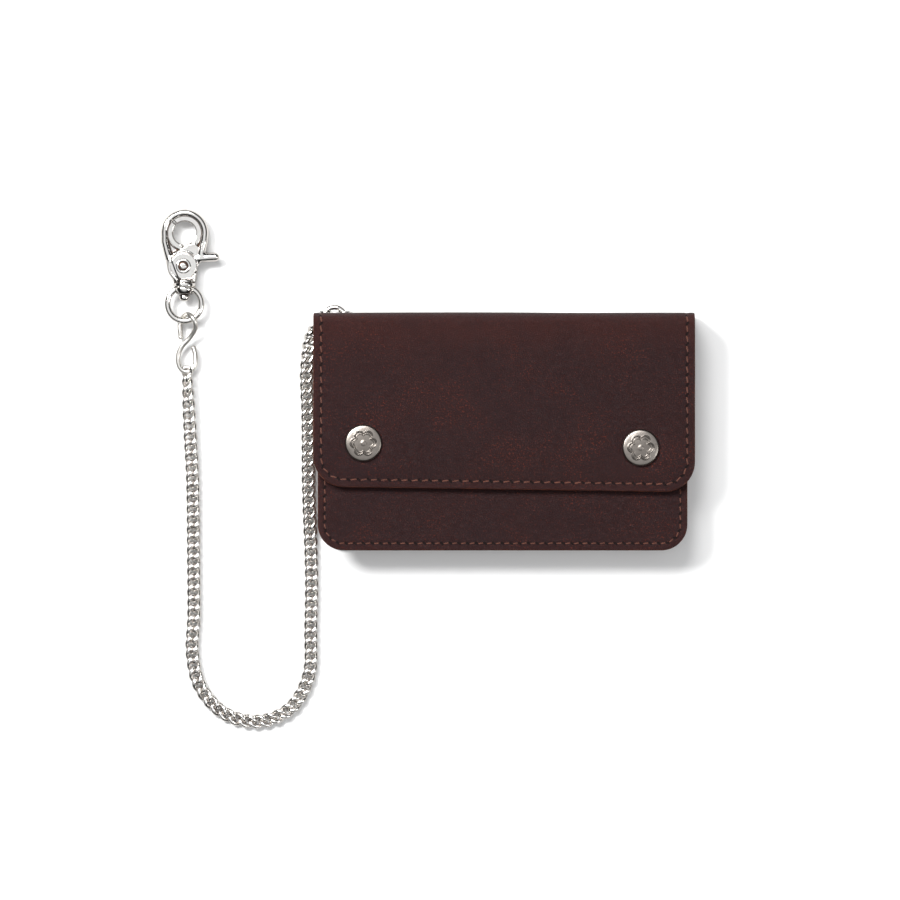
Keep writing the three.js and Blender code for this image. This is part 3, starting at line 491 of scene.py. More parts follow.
@dataclass(frozen=True)
class Metal(Finish):
    """Plated metal: clean on its faces, duller where it is rubbed, with shade painted into its recesses (on
    antique nickel, the oxide in its hollows).
    """

    colour: RGB = (0.83, 0.82, 0.79)
    tarnish: RGB = (0.42, 0.40, 0.36)
    # dark: painted shade in the recesses; on antique nickel, the oxide in its hollows
    dark: RGB = (0.05, 0.045, 0.04)
    roughness: float = 0.10
    rough_spread: float = 0.10
    scratches: float = 0.35
    cloud: float = 0.25
    depth: float = 0.00001
    recess_shade_gain: float = 1.0

    def build(self) -> bpy.types.Material:
        """Builds the metal.

        Returns:
            The material.
        """
        made, t, shader, where = self.start()
        recess = t.add("Attribute", attribute_name=MASK).outputs["Fac"]
        recess = t.math("MINIMUM", t.math("MULTIPLY", recess, self.recess_shade_gain), 1.0)
        rub = t.group(Effects.rub, {"Vector": where, "Scratches": self.scratches})
        smear = t.math("MULTIPLY", t.ramp(t.noise(where, 420.0, 4.0, 0.6), 0.42, 0.8), self.cloud)
        colour = t.mix(smear, rgba(self.colour), rgba(self.tarnish))
        # painted shade in the recesses (on antique nickel, oxide in the hollows)
        colour = t.mix(recess, colour, rgba(self.dark))
        rough = t.math("ADD", t.math("MULTIPLY", rub.outputs["Mask"], self.rough_spread), self.roughness)
        rough = t.math("ADD", rough, t.math("MULTIPLY", recess, 0.35))
        bump = t.add("Bump", {"Strength": 0.6, "Distance": self.depth, "Height": rub.outputs["Height"]})
        t.tree.links.new(colour, shader.inputs["Base Color"])
        t.tree.links.new(rough, shader.inputs["Roughness"])
        t.tree.links.new(bump.outputs[0], shader.inputs["Normal"])
        shader.inputs["Metallic"].default_value = 1.0
        return made


OUTER_LEATHER = Leather("outer_leather")
INNER_LEATHER = Leather("inner_leather", shine=0.3, deep=(0.040, 0.014, 0.009), light=(0.066, 0.024, 0.015),
                        flecks=0.15, edge=(0.09, 0.03, 0.016), roughness=0.6, cells=2100.0,
                        depth=0.00009, wrinkles=0.35)
FLESH_SIDE = Leather("flesh_side", deep=(0.055, 0.020, 0.012), light=(0.090, 0.036, 0.022),
                     flecks=0.1, edge=(0.1, 0.036, 0.02), roughness=0.78, cells=3400.0,
                     depth=0.00014, wrinkles=0.8, sheen=0.3)
CUT_EDGE = CutEdge("cut_edge")
# near-black discs of painted shade where the awl holes are
AWL_HOLE_SHADE = Leather("awl_hole_shade", deep=(0.006, 0.002, 0.002), light=(0.010, 0.003, 0.003),
                   flecks=0.0, edge=(0.006, 0.002, 0.002), roughness=0.8)
THREAD = Yarn("waxed_thread")
TAPE = Yarn("zip_tape", deep=(0.006, 0.005, 0.005), light=(0.020, 0.017, 0.017), ridges=11000.0)
# the dark of the polished nickel is painted shade in its recesses
NICKEL = Metal("polished_nickel", colour=(0.82, 0.80, 0.77), dark=(0.060, 0.036, 0.026), roughness=0.06,
               rough_spread=0.06, scratches=0.2, cloud=0.15, recess_shade_gain=1.7)
# its warm brown dark is painted shade between the links
CHAIN_NICKEL = Metal("chain_nickel", colour=(0.93, 0.91, 0.88), dark=(0.17, 0.095, 0.06),
                     roughness=0.17, cloud=0.12)
SATIN_NICKEL = Metal("satin_nickel", colour=(0.74, 0.72, 0.68), roughness=0.26, rough_spread=0.12,
                     cloud=0.35, tarnish=(0.60, 0.57, 0.52))
ANTIQUE = Metal("antique_nickel", colour=(0.265, 0.238, 0.214), tarnish=(0.16, 0.14, 0.124),
                dark=(0.035, 0.03, 0.026), roughness=0.24, rough_spread=0.2, scratches=0.6, cloud=0.6,
                recess_shade_gain=0.4)
# its dark is painted shade in the hollows of the cast zip parts
BRASS = Metal("zip_brass", colour=(0.60, 0.43, 0.17), tarnish=(0.33, 0.22, 0.08),
              dark=(0.07, 0.045, 0.02), roughness=0.24, rough_spread=0.16, cloud=0.5)


# ---------------------------------------------------------------- mesh building

class Piece:
    """One visual piece: skins of points and faces that are gathered, then made into one object."""

    def __init__(self, name: str) -> None:
        """Starts an empty piece.

        Args:
            name: the piece's name.
        """
        self.name = name
        self.points: list[Array] = []
        self.coords: list[Array] = []
        self.masks: list[Array] = []
        self.faces: list[tuple[int, ...]] = []
        self.slots: list[int] = []
        self.count = 0

    def skin(self, points: Array, faces: list[tuple[int, ...]], slot: int | list[int] = 0,
             coords: Array | None = None, mask: Array | None = None) -> None:
        """Adds points and the faces between them.

        Args:
            points: an (n, 3) array.
            faces: corner numbers within points.
            slot: the material slot of all the faces, or of each.
            coords: the points' coordinates for the finish, if not their places.
            mask: from 0 to 1; on leather the points' edge wear and painted highlight, on metal their painted
                recess shade, on antique nickel their oxide.
        """
        self.points.append(points)
        self.coords.append(points if coords is None else coords)
        self.masks.append(np.zeros(len(points)) if mask is None else mask)
        self.faces.extend(tuple(corner + self.count for corner in face) for face in faces)
        self.slots.extend([slot] * len(faces) if isinstance(slot, int) else slot)
        self.count += len(points)

    def grid(self, points: Array, round_u: bool = False, round_v: bool = False, cap: bool = False,
             slot: int = 0, coords: Array | None = None, mask: Array | None = None) -> None:
        """Adds a net of four-cornered faces.

        Args:
            points: an (m, n, 3) array.
            round_u: whether the last row joins the first.
            round_v: whether the last column joins the first.
            cap: whether the first and last rows are closed by a face each.
            slot: the material slot.
            coords: the points' coordinates for the finish, shaped as points.
            mask: the points' wear, painted light and oxide, as for skin, shaped (m, n).
        """
        m, n = points.shape[:2]
        faces: list[tuple[int, ...]] = []
        for i in range(m if round_u else m - 1):
            for j in range(n if round_v else n - 1):
                k, l = (i + 1) % m, (j + 1) % n
                faces.append((i * n + j, k * n + j, k * n + l, i * n + l))
        if cap:
            faces.append(tuple(range(n)))
            faces.append(tuple(m * n - 1 - j for j in range(n)))
        self.skin(points.reshape(-1, 3), faces, slot,
                  None if coords is None else coords.reshape(-1, 3),
                  None if mask is None else mask.ravel())

    def tube(self, line: Array, radius: Array | float, sides: int = 12, closed: bool = False,
             slot: int = 0, twist_coords: bool = False, heart: Array | None = None) -> None:
        """Adds a round wire along a line of points, capped at its ends unless it is closed.

        Args:
            line: the wire's centreline.
            radius: the wire's, or that at each point.
            sides: how many sides it has.
            closed: whether its end joins its start.
            slot: the material slot.
            twist_coords: whether the finish runs along the wire, not with the piece's own place.
            heart: a point that the wire goes round; the side that faces it counts as a recess and gets
                painted shade, where the neighbouring links shade it.
        """
        side, up = level_frames(line, closed)
        angles = np.arange(sides) * 2 * math.pi / sides
        radii = np.broadcast_to(np.asarray(radius, float), (len(line),))
        ring = np.cos(angles)[None, :, None] * side[:, None] + np.sin(angles)[None, :, None] * up[:, None]
        points = line[:, None] + ring * radii[:, None, None]
        coords = None
        if twist_coords:
            along = distances(line)[:, None] + np.zeros(sides)
            around = np.zeros((len(line), 1)) + angles * float(np.max(radii)) * 1.2
            coords = np.stack([along, around, along * 0 + line[0, 0]], axis=2)
        recess = None
        if heart is not None:
            # painted shade on the side that faces the link's middle, where its neighbours shade it
            inwards = (heart - line) / np.linalg.norm(heart - line, axis=1, keepdims=True)
            facing = np.einsum("ijk,ik->ij", ring, inwards)
            recess = 0.55 * np.clip(facing, 0, 1) ** 1.2
        self.grid(points, round_u=closed, round_v=True, cap=not closed, slot=slot, coords=coords,
                  mask=recess)

    def lathe(self, profile: list[tuple[float, float]], place: Vector, axis: str = "Z",
              sides: int = 64, slot: int = 0, mask: list[float] | None = None) -> None:
        """Turns a profile of (radius, height along the axis) about that axis through place.

        Args:
            profile: closed on itself, or from axis to axis.
            place: a point on the axis, whose coordinate along the axis isn't used.
            axis: "Y" or "Z".
            sides: how many steps round.
            slot: the material slot.
            mask: how dark each profile point is painted: shade in the recesses of polished nickel, oxide in
                the hollows of antique nickel.
        """
        turn = np.arange(sides) * 2 * math.pi / sides
        radius = np.array([max(r, 1e-6) for r, _ in profile])[:, None]
        height = np.array([h for _, h in profile])[:, None] + np.zeros(sides)
        a, b = radius * np.cos(turn), radius * np.sin(turn)
        if axis == "Z":
            points = np.stack([place.x + a, place.y + b, height], axis=2)
        else:
            points = np.stack([place.x + b, height, place.z + a], axis=2)
        ends = profile[0] != profile[-1]
        wear_oxide_and_painted_light = None if mask is None else np.array(mask)[:, None] + np.zeros(sides)
        if not ends:
            points, wear_oxide_and_painted_light = points[:-1], None if wear_oxide_and_painted_light is None else wear_oxide_and_painted_light[:-1]
        self.grid(points[::-1], round_u=not ends, round_v=True, cap=ends, slot=slot,
                  mask=None if wear_oxide_and_painted_light is None else wear_oxide_and_painted_light[::-1])

    def make(self, finishes: list[Finish], record_slot: str, replaces: list[str],
             crease_deg: float = 40.0) -> bpy.types.Object:
        """Makes the object.

        Args:
            finishes: one for each material slot.
            record_slot: not used.
            replaces: the frame nodes that it stands for.
            crease_deg: faces that meet more sharply than this keep a hard edge.

        Returns:
            The object, in the scene.
        """
        mesh = bpy.data.meshes.new(self.name)
        mesh.from_pydata(np.concatenate(self.points).tolist(), [], self.faces)
        mesh.attributes.new(COORDS, "FLOAT_VECTOR", "POINT").data.foreach_set(
            "vector", np.concatenate(self.coords).astype(np.float32).ravel())
        mesh.attributes.new(MASK, "FLOAT", "POINT").data.foreach_set(
            "value", np.concatenate(self.masks).astype(np.float32))
        mesh.polygons.foreach_set("material_index", self.slots)
        mesh.polygons.foreach_set("use_smooth", [True] * len(self.faces))
        mesh.set_sharp_from_angle(angle=math.radians(crease_deg))
        for finish in finishes:
            mesh.materials.append(finish.material())
        mesh.validate()
        turn_outwards(mesh)
        made = bpy.data.objects.new(self.name, mesh)
        bpy.context.scene.collection.objects.link(made)
        if replaces:
            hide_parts(*replaces)
        log.info("%s: %d faces", self.name, len(mesh.polygons))
        return made


def circle(place: Vector, radius: float, count: int) -> Array:
    """Points of a level circle about a place."""
    turn = np.arange(count) * 2 * math.pi / count
    return np.stack([place.x + radius * np.cos(turn), place.y + radius * np.sin(turn),
                     turn * 0 + place.z], axis=1)


def turn_outwards(mesh: bpy.types.Mesh) -> None:
    """Turns every face of the closed skins outwards.

    Args:
        mesh: the mesh, whose skins are closed.
    """
    work = bmesh.new()
    work.from_mesh(mesh)
    bmesh.ops.recalc_face_normals(work, faces=work.faces)
    work.to_mesh(mesh)
    work.free()


def distances(line: Array) -> Array:
    """How far along a line each of its points lies."""
    steps = np.linalg.norm(np.diff(line, axis=0), axis=1)
    return np.concatenate([[0.0], np.cumsum(steps)])


def tangents(line: Array, closed: bool = False) -> Array:
    """The unit direction of a line at each of its points."""
    if closed:
        ahead, behind = np.roll(line, -1, axis=0), np.roll(line, 1, axis=0)
        way = ahead - behind
    else:
        way = np.gradient(line, axis=0)
    return way / np.linalg.norm(way, axis=1, keepdims=True)


def level_frames(line: Array, closed: bool = False) -> tuple[Array, Array]:
    """Two unit vectors across a line at each point, carried along it without sudden turns.

    Args:
        line: the line's points.
        closed: whether its end joins its start.

    Returns:
        The first and the second vector at each point.
    """
    ahead = tangents(line, closed)
    first = np.cross([0.0, 0.0, 1.0], ahead[0])
    if np.linalg.norm(first) < 0.1:
        first = np.cross([1.0, 0.0, 0.0], ahead[0])
    side = [first / np.linalg.norm(first)]
    for way in ahead[1:]:
        step = side[-1] - np.dot(side[-1], way) * way
        side.append(step / np.linalg.norm(step))
    across = np.array(side)
    return across, np.cross(ahead, across)


def resample(line: Array, at: Array) -> Array:
    """Points of a line at those distances along it."""
    along = distances(line)
    return np.stack([np.interp(at, along, line[:, k]) for k in range(line.shape[1])], axis=1)


def smooth_line(points: list[tuple[float, ...]], per_span: int = 24) -> Array:
    """A centripetal Catmull-Rom curve through points, which are given in millimetres.

    Args:
        points: the points that it passes through.
        per_span: how many steps it takes between two of them.

    Returns:
        The curve's points, in metres.
    """
    p = np.array(points, float) * MM
    p = np.vstack([2 * p[0] - p[1], p, 2 * p[-1] - p[-2]])
    rows = []
    for i in range(1, len(p) - 2):
        quad = p[i - 1:i + 3]
        knots = np.concatenate([[0.0], np.cumsum(np.linalg.norm(np.diff(quad, axis=0), axis=1) ** 0.5)])
        for t in np.linspace(knots[1], knots[2], per_span, endpoint=False):
            first = [between(t, knots[k], knots[k + 1], quad[k], quad[k + 1]) for k in range(3)]
            second = [between(t, knots[k], knots[k + 2], first[k], first[k + 1]) for k in range(2)]
            rows.append(between(t, knots[1], knots[2], second[0], second[1]))
    rows.append(p[-2])
    return np.array(rows)


def between(t: float, start: float, end: float, a: Array, b: Array) -> Array:
    """The point at t on the straight line that is at a at start and at b at end."""
    return ((end - t) * a + (t - start) * b) / (end - start)


def bumpy(x: Array, y: Array, size: float, seed: float) -> Array:
    """Soft random waves, about size metres across, between -1 and 1."""
    flat = [noise.noise(Vector((a / size, b / size, seed))) for a, b in zip(x.ravel(), y.ravel())]
    return np.array(flat).reshape(x.shape)


def bell(distance: Array, width: float) -> Array:
    """A smooth hump of height 1 at distance 0."""
    return np.exp(-(distance / width) ** 2)


def smoothstep(value: Array, start: float, end: float) -> Array:
    """Rises smoothly from 0 at start to 1 at end."""
    t = np.clip((value - start) / (end - start), 0.0, 1.0)
    return t * t * (3 - 2 * t)


# ---------------------------------------------------------------- leather sheets

@dataclass(frozen=True)
class Outline:
    """A sheet's outline: straight sides and bottom, round lower corners, in metres."""

    left: float
    right: float
    low_left: float
    low_right: float
    corner: float
    top: float
    top_free: bool = False

    def base(self, x: Array) -> Array:
        """The straight bottom line's height at x."""
        return self.low_left + (self.low_right - self.low_left) * (x - self.left) / (self.right - self.left)

    def low(self, x: Array) -> Array:
        """The outline's lowest height at x, round corners included.

        Args:
            x: where it is asked.

        Returns:
            The height there.
        """
        from_side = np.minimum(x - self.left, self.right - x)
        reach = np.clip(self.corner - from_side, 0, self.corner)
        return self.base(x) + self.corner - np.sqrt(self.corner ** 2 - reach ** 2)

    def inset(self, x: Array, y: Array) -> Array:
        """How far inside the nearest free edge a point lies.

        Args:
            x: the points' x.
            y: their y.

        Returns:
            The distance, below 0 outside.
        """
        side = np.minimum(x - self.left, self.right - x)
        rise = y - self.base(x)
        in_corner = (side < self.corner) & (rise < self.corner)
        from_corner = self.corner - np.hypot(self.corner - side, self.corner - rise)
        depth = np.where(in_corner, from_corner, np.minimum(side, rise))
        return np.minimum(depth, self.top - y) if self.top_free else depth

    def line(self, inset: float, top: float) -> Array:
        """A line inset from the free edges, from the top of the left side round to the right.

        Args:
            inset: how far inside the edges it runs.
            top: where its ends are.

        Returns:
            The line's points.
        """
        radius = max(self.corner - inset, 0.5 * MM)
        left, right = self.left + inset, self.right - inset
        points = [(left, top)]
        turns = [(left + radius, math.pi, 1.5 * math.pi), (right - radius, 1.5 * math.pi, 2 * math.pi)]
        for centre_x, start, end in turns:
            centre_y = float(self.base(np.array(centre_x))) + inset + radius
            for angle in np.linspace(start, end, 13):
                points.append((centre_x + radius * math.cos(angle), centre_y + radius * math.sin(angle)))
        points.append((right, top))
        return np.array(points)


@dataclass(frozen=True)
class Bend:
    """How a sheet lies: flat, then for the folded hides over the fold's corner to its seam."""

    height: float  # of the outer face where it is flat
    facing: float  # 1 where the outer face is up, -1 where it is down
    folds: bool = False

    def at(self, s: Array) -> tuple[Array, Array, Array, Array]:
        """The outer face at s along the sheet.

        Args:
            s: how far along, the same as y while the sheet is flat.

        Returns:
            y, z, and the outward direction's y and z.
        """
        if not self.folds:
            zero = s * 0
            return s, zero + self.height, zero, zero + self.facing
        radius = LAYERS.fold_radius
        past = np.clip(s - LAYERS.fold_start, 0, None)
        angle = np.minimum(past / radius, math.pi / 2)
        straight = np.clip(past - radius * math.pi / 2, 0, None)
        y = np.where(past > 0, LAYERS.fold_start + radius * np.sin(angle), s)
        z = self.height - self.facing * (radius * (1 - np.cos(angle)) + straight)
        return y, z, np.sin(angle), self.facing * np.cos(angle)

    @property
    def length(self) -> float:
        """How far along the sheet its end at the fold's seam is."""
        reach = abs(LAYERS.seam - self.height) - LAYERS.fold_radius
        return LAYERS.fold_start + LAYERS.fold_radius * math.pi / 2 + reach


EDGE_STEPS = np.array([0, .12, .28, .5, .8, 1.2, 1.7, 2.2, 2.6, 2.95, 3.25, 3.55, 3.9, 4.3, 4.9, 5.7,
                       6.7, 7.9, 9.2, 10.6, 12.0, 13.4]) * MM
EVEN_STEP = 1.25 * MM


@dataclass
class Sheet:
    """A sheet of leather with thickness, rounded edges and a relief that follows its seams."""

    name: str
    outline: Outline
    bend: Bend
    thickness: float
    groove_inset: float = 0.0
    groove_depth: float = 0.0
    bevel: float = 0.5 * MM
    ripple: float = 0.0
    seed: float = 0.0
    pinches: list[tuple[float, float, float, float]] = field(default_factory=list)
    droop: float = 0.0
    flare: float = 0.0
    step: float = EVEN_STEP

    def columns(self) -> Array:
        """The x of each column: close together near the sides, even between them.

        Returns:
            The columns' x.
        """
        first, last = self.outline.left + EDGE_STEPS, self.outline.right - EDGE_STEPS[::-1]
        count = max(int((last[0] - first[-1]) / self.step), 2)
        return np.concatenate([first, np.linspace(first[-1], last[0], count + 1)[1:-1], last])

    def rows(self, x: Array) -> Array:
        """The s of each point of the net, as (columns, rows).

        Args:
            x: the columns' x.

        Returns:
            The s of each point.
        """
        near = self.outline.low(x)[:, None] + EDGE_STEPS
        if self.outline.top_free:
            far = self.outline.top - EDGE_STEPS[EDGE_STEPS < 4 * MM][::-1]
        else:
            far = np.arange(self.outline.top, LAYERS.fold_start, -0.8 * MM)[::-1]
            far = far if len(far) else np.array([self.outline.top])
        count = max(int((far[0] - near[:, -1].min()) / self.step), 2)
        share = np.linspace(0, 1, count + 1)[1:-1]
        between_rows = near[:, -1:] + (far[0] - near[:, -1:]) * share
        return np.concatenate([near, between_rows, np.tile(far, (len(x), 1))], axis=1)

    def relief(self, x: Array, s: Array) -> Array:
        """How far the whole sheet is pushed outwards at each point.

        Args:
            x: the points' x.
            s: how far up the leather they lie.

        Returns:
            The push at each point.
        """
        depth = self.outline.inset(x, s)
        push = self.ripple * bumpy(x, s, 42 * MM, self.seed)
        push = push + 0.35 * self.ripple * bumpy(x, s, 9 * MM, self.seed + 3) * bell(depth, 5 * MM)
        for cx, cy, radius, sink in self.pinches:
            away = np.hypot(x - cx, s - cy)
            push = push - sink * np.where(away < radius, 1.0, bell(away - radius, 3.2 * MM))
        if self.droop:
            hang = 1 - smoothstep(s - self.outline.base(x), 0.0, 17 * MM)
            sides = (1 - smoothstep(depth, 0.0, 9 * MM)) * (1 - smoothstep(s, 5 * MM, 40 * MM))
            push = push - self.droop * np.clip(hang + 0.45 * sides, 0, 1.1)
        return push

    def face_relief(self, x: Array, s: Array) -> Array:
        """How far the grain side alone is pressed in: the rounded edge and the stitched groove.

        Args:
            x: the points' x.
            s: how far up the leather they lie.

        Returns:
            The depth at each point, 0 or less.
        """
        depth = self.outline.inset(x, s)
        inside = np.clip(self.bevel - depth, 0, self.bevel)
        pressed = -(self.bevel - np.sqrt(self.bevel ** 2 - inside ** 2))
        pressed = pressed - self.groove_depth * bell(depth - self.groove_inset, 0.55 * MM)
        if self.groove_depth:
            margin = bell(depth - 0.55 * self.groove_inset, 0.6 * self.groove_inset)
            pressed = pressed + 0.10 * MM * margin * bumpy(x, s, 3.6 * MM, self.seed + 8)
        return pressed

    def place(self, x: Array, s: Array, lift: Array) -> Array:
        """Points on the sheet, lifted outwards from its grain side.

        Args:
            x: the points' x.
            s: how far up the leather they lie.
            lift: how far outwards of the grain side they lie.

        Returns:
            The points in space.
        """
        y, z, out_y, out_z = self.bend.at(s)
        push = self.relief(x, s) + lift
        if self.flare:
            centre = (self.outline.left + self.outline.right) / 2
            half = (self.outline.right - self.outline.left) / 2
            spread = smoothstep(s, LAYERS.gusset_top, LAYERS.panel_top) * self.flare
            x = x + (x - centre) / half * spread + spread * self.lean()
        return np.stack([x, y + out_y * push, z + out_z * push], axis=-1)

    def lean(self) -> float:
        """How much more the left side flares than the right, as a share of the flare.

        Returns:
            The share.
        """
        left = self.outline.left - LAYERS.left
        right = LAYERS.right - self.outline.right
        return (right - left) / (right + left)

    def piece(self) -> Piece:
        """The sheet as a closed skin: grain side, flesh side and cut edges.

        Returns:
            The piece, not made yet.
        """
        made = Piece(self.name)
        x = self.columns()
        s = self.rows(x)
        x = np.tile(x[:, None], (1, s.shape[1]))
        depth = self.outline.inset(x, s)
        outer = self.place(x, s, self.face_relief(x, s))
        inner_bevel = 0.5 * self.bevel
        inside = np.clip(inner_bevel - depth, 0, inner_bevel)
        inner = self.place(x, s, inner_bevel - np.sqrt(inner_bevel ** 2 - inside ** 2) - self.thickness)
        # edge wear, plus a painted highlight in a band along the fold at the lining's top
        wear_oxide_and_painted_light = np.clip(0.5 * bell(depth, 2.2 * MM) + 0.8 * bell(s - LAYERS.panel_top, 9 * MM), 0, 1)
        m, n = s.shape
        faces: list[tuple[int, ...]] = []
        slots: list[int] = []
        total = m * n
        edge = depth < 0.42 * self.bevel
        for i in range(m - 1):
            for j in range(n - 1):
                a, b, c, d = i * n + j, (i + 1) * n + j, (i + 1) * n + j + 1, i * n + j + 1
                faces += [(a, b, c, d), (total + d, total + c, total + b, total + a)]
                cut = edge[i:i + 2, j:j + 2].any()
                slots += [2 if cut else 0, 1]
        rim = ([i * n for i in range(m)] + [(m - 1) * n + j for j in range(1, n)]
               + [i * n + n - 1 for i in range(m - 2, -1, -1)] + [j for j in range(n - 2, 0, -1)])
        for a, b in zip(rim, rim[1:] + rim[:1]):
            faces.append((b, a, total + a, total + b))
            slots.append(2)
        if self.bend.facing < 0:
            faces = [face[::-1] for face in faces]
        flat = np.stack([x, s, x * 0], axis=-1).reshape(-1, 3)
        under = flat + np.array([0, 0, -self.thickness])
        made.skin(np.concatenate([outer.reshape(-1, 3), inner.reshape(-1, 3)]), faces, slots,
                  np.concatenate([flat, under]), np.concatenate([wear_oxide_and_painted_light.ravel(), wear_oxide_and_painted_light.ravel() * 0.5]))
        return made


@dataclass(frozen=True)
class Stitches:
    """A row of saddle stitches with the awl holes that they go down into, each hole painted as a dark disc of
    shade.
    """

    pitch: float
    length: float
    radius: float = 0.30 * MM
    slant: float = 0.16
    sides: int = 8
    hole: float = 0.60 * MM

    def sew(self, made: Piece, sheet: Sheet, line: Array, outside: bool) -> None:
        """Adds the row to a piece.

        Args:
            made: the piece, whose slot 0 is thread and slot 1 is the holes' painted shade.
            sheet: the leather that it is sewn through.
            line: the row's line, as x and s.
            outside: whether it lies on the grain side or on the flesh side.
        """
        total = distances(line)[-1]
        count = int(total / self.pitch)
        starts = (np.arange(count) + 0.5) * total / count
        centres, ahead = resample(line, starts), resample(line, starts + 0.2 * MM)
        u = np.linspace(-1, 1, 9)
        face = 0.0 if outside else -sheet.thickness
        sign = 1.0 if outside else -1.0
        for index, (centre, next_point) in enumerate(zip(centres, ahead)):
            way = (next_point - centre) / np.linalg.norm(next_point - centre)
            across = np.array([-way[1], way[0]])
            swing = self.slant * (1 + 0.35 * math.sin(index * 2.1))
            path = centre + np.outer(u, way * self.length / 2) + np.outer(u, across * self.length / 2 * swing)
            lift = 0.10 * MM - 0.45 * MM * np.abs(u) ** 3
            recess = sheet.face_relief(path[:, 0], path[:, 1]) if outside else 0.0
            points = sheet.place(path[:, 0], path[:, 1], face + recess + sign * lift)
            made.tube(points, self.radius * (1 - 0.3 * u ** 2), self.sides, twist_coords=True)
            for end in (0, -1):
                self.punch(made, sheet, path[end] + way * (0.26 * MM if end else -0.26 * MM), face, sign)

    def punch(self, made: Piece, sheet: Sheet, at: Array, face: float, sign: float) -> None:
        """Adds one awl hole as painted shade: a small dark lens just over the leather.

        Args:
            made: the row's piece.
            sheet: the leather.
            at: the hole's place, as x and s.
            face: the height of the side it is on.
            sign: 1 for the grain side, -1 for the other.
        """
        turn = np.arange(10) * 2 * math.pi / 10
        ring = at + self.hole * np.stack([np.cos(turn), np.sin(turn)], axis=1)
        path = np.vstack([ring, at])
        recess = sheet.face_relief(path[:, 0], path[:, 1]) if face == 0.0 else np.zeros(len(path))
        lift = np.array([0.0] * 10 + [0.03 * MM])
        points = sheet.place(path[:, 0], path[:, 1], face + recess + sign * (lift + 0.015 * MM))
        faces = [(10, k, (k + 1) % 10) for k in range(10)]
        made.skin(points, [*faces, tuple(range(9, -1, -1))], 1)


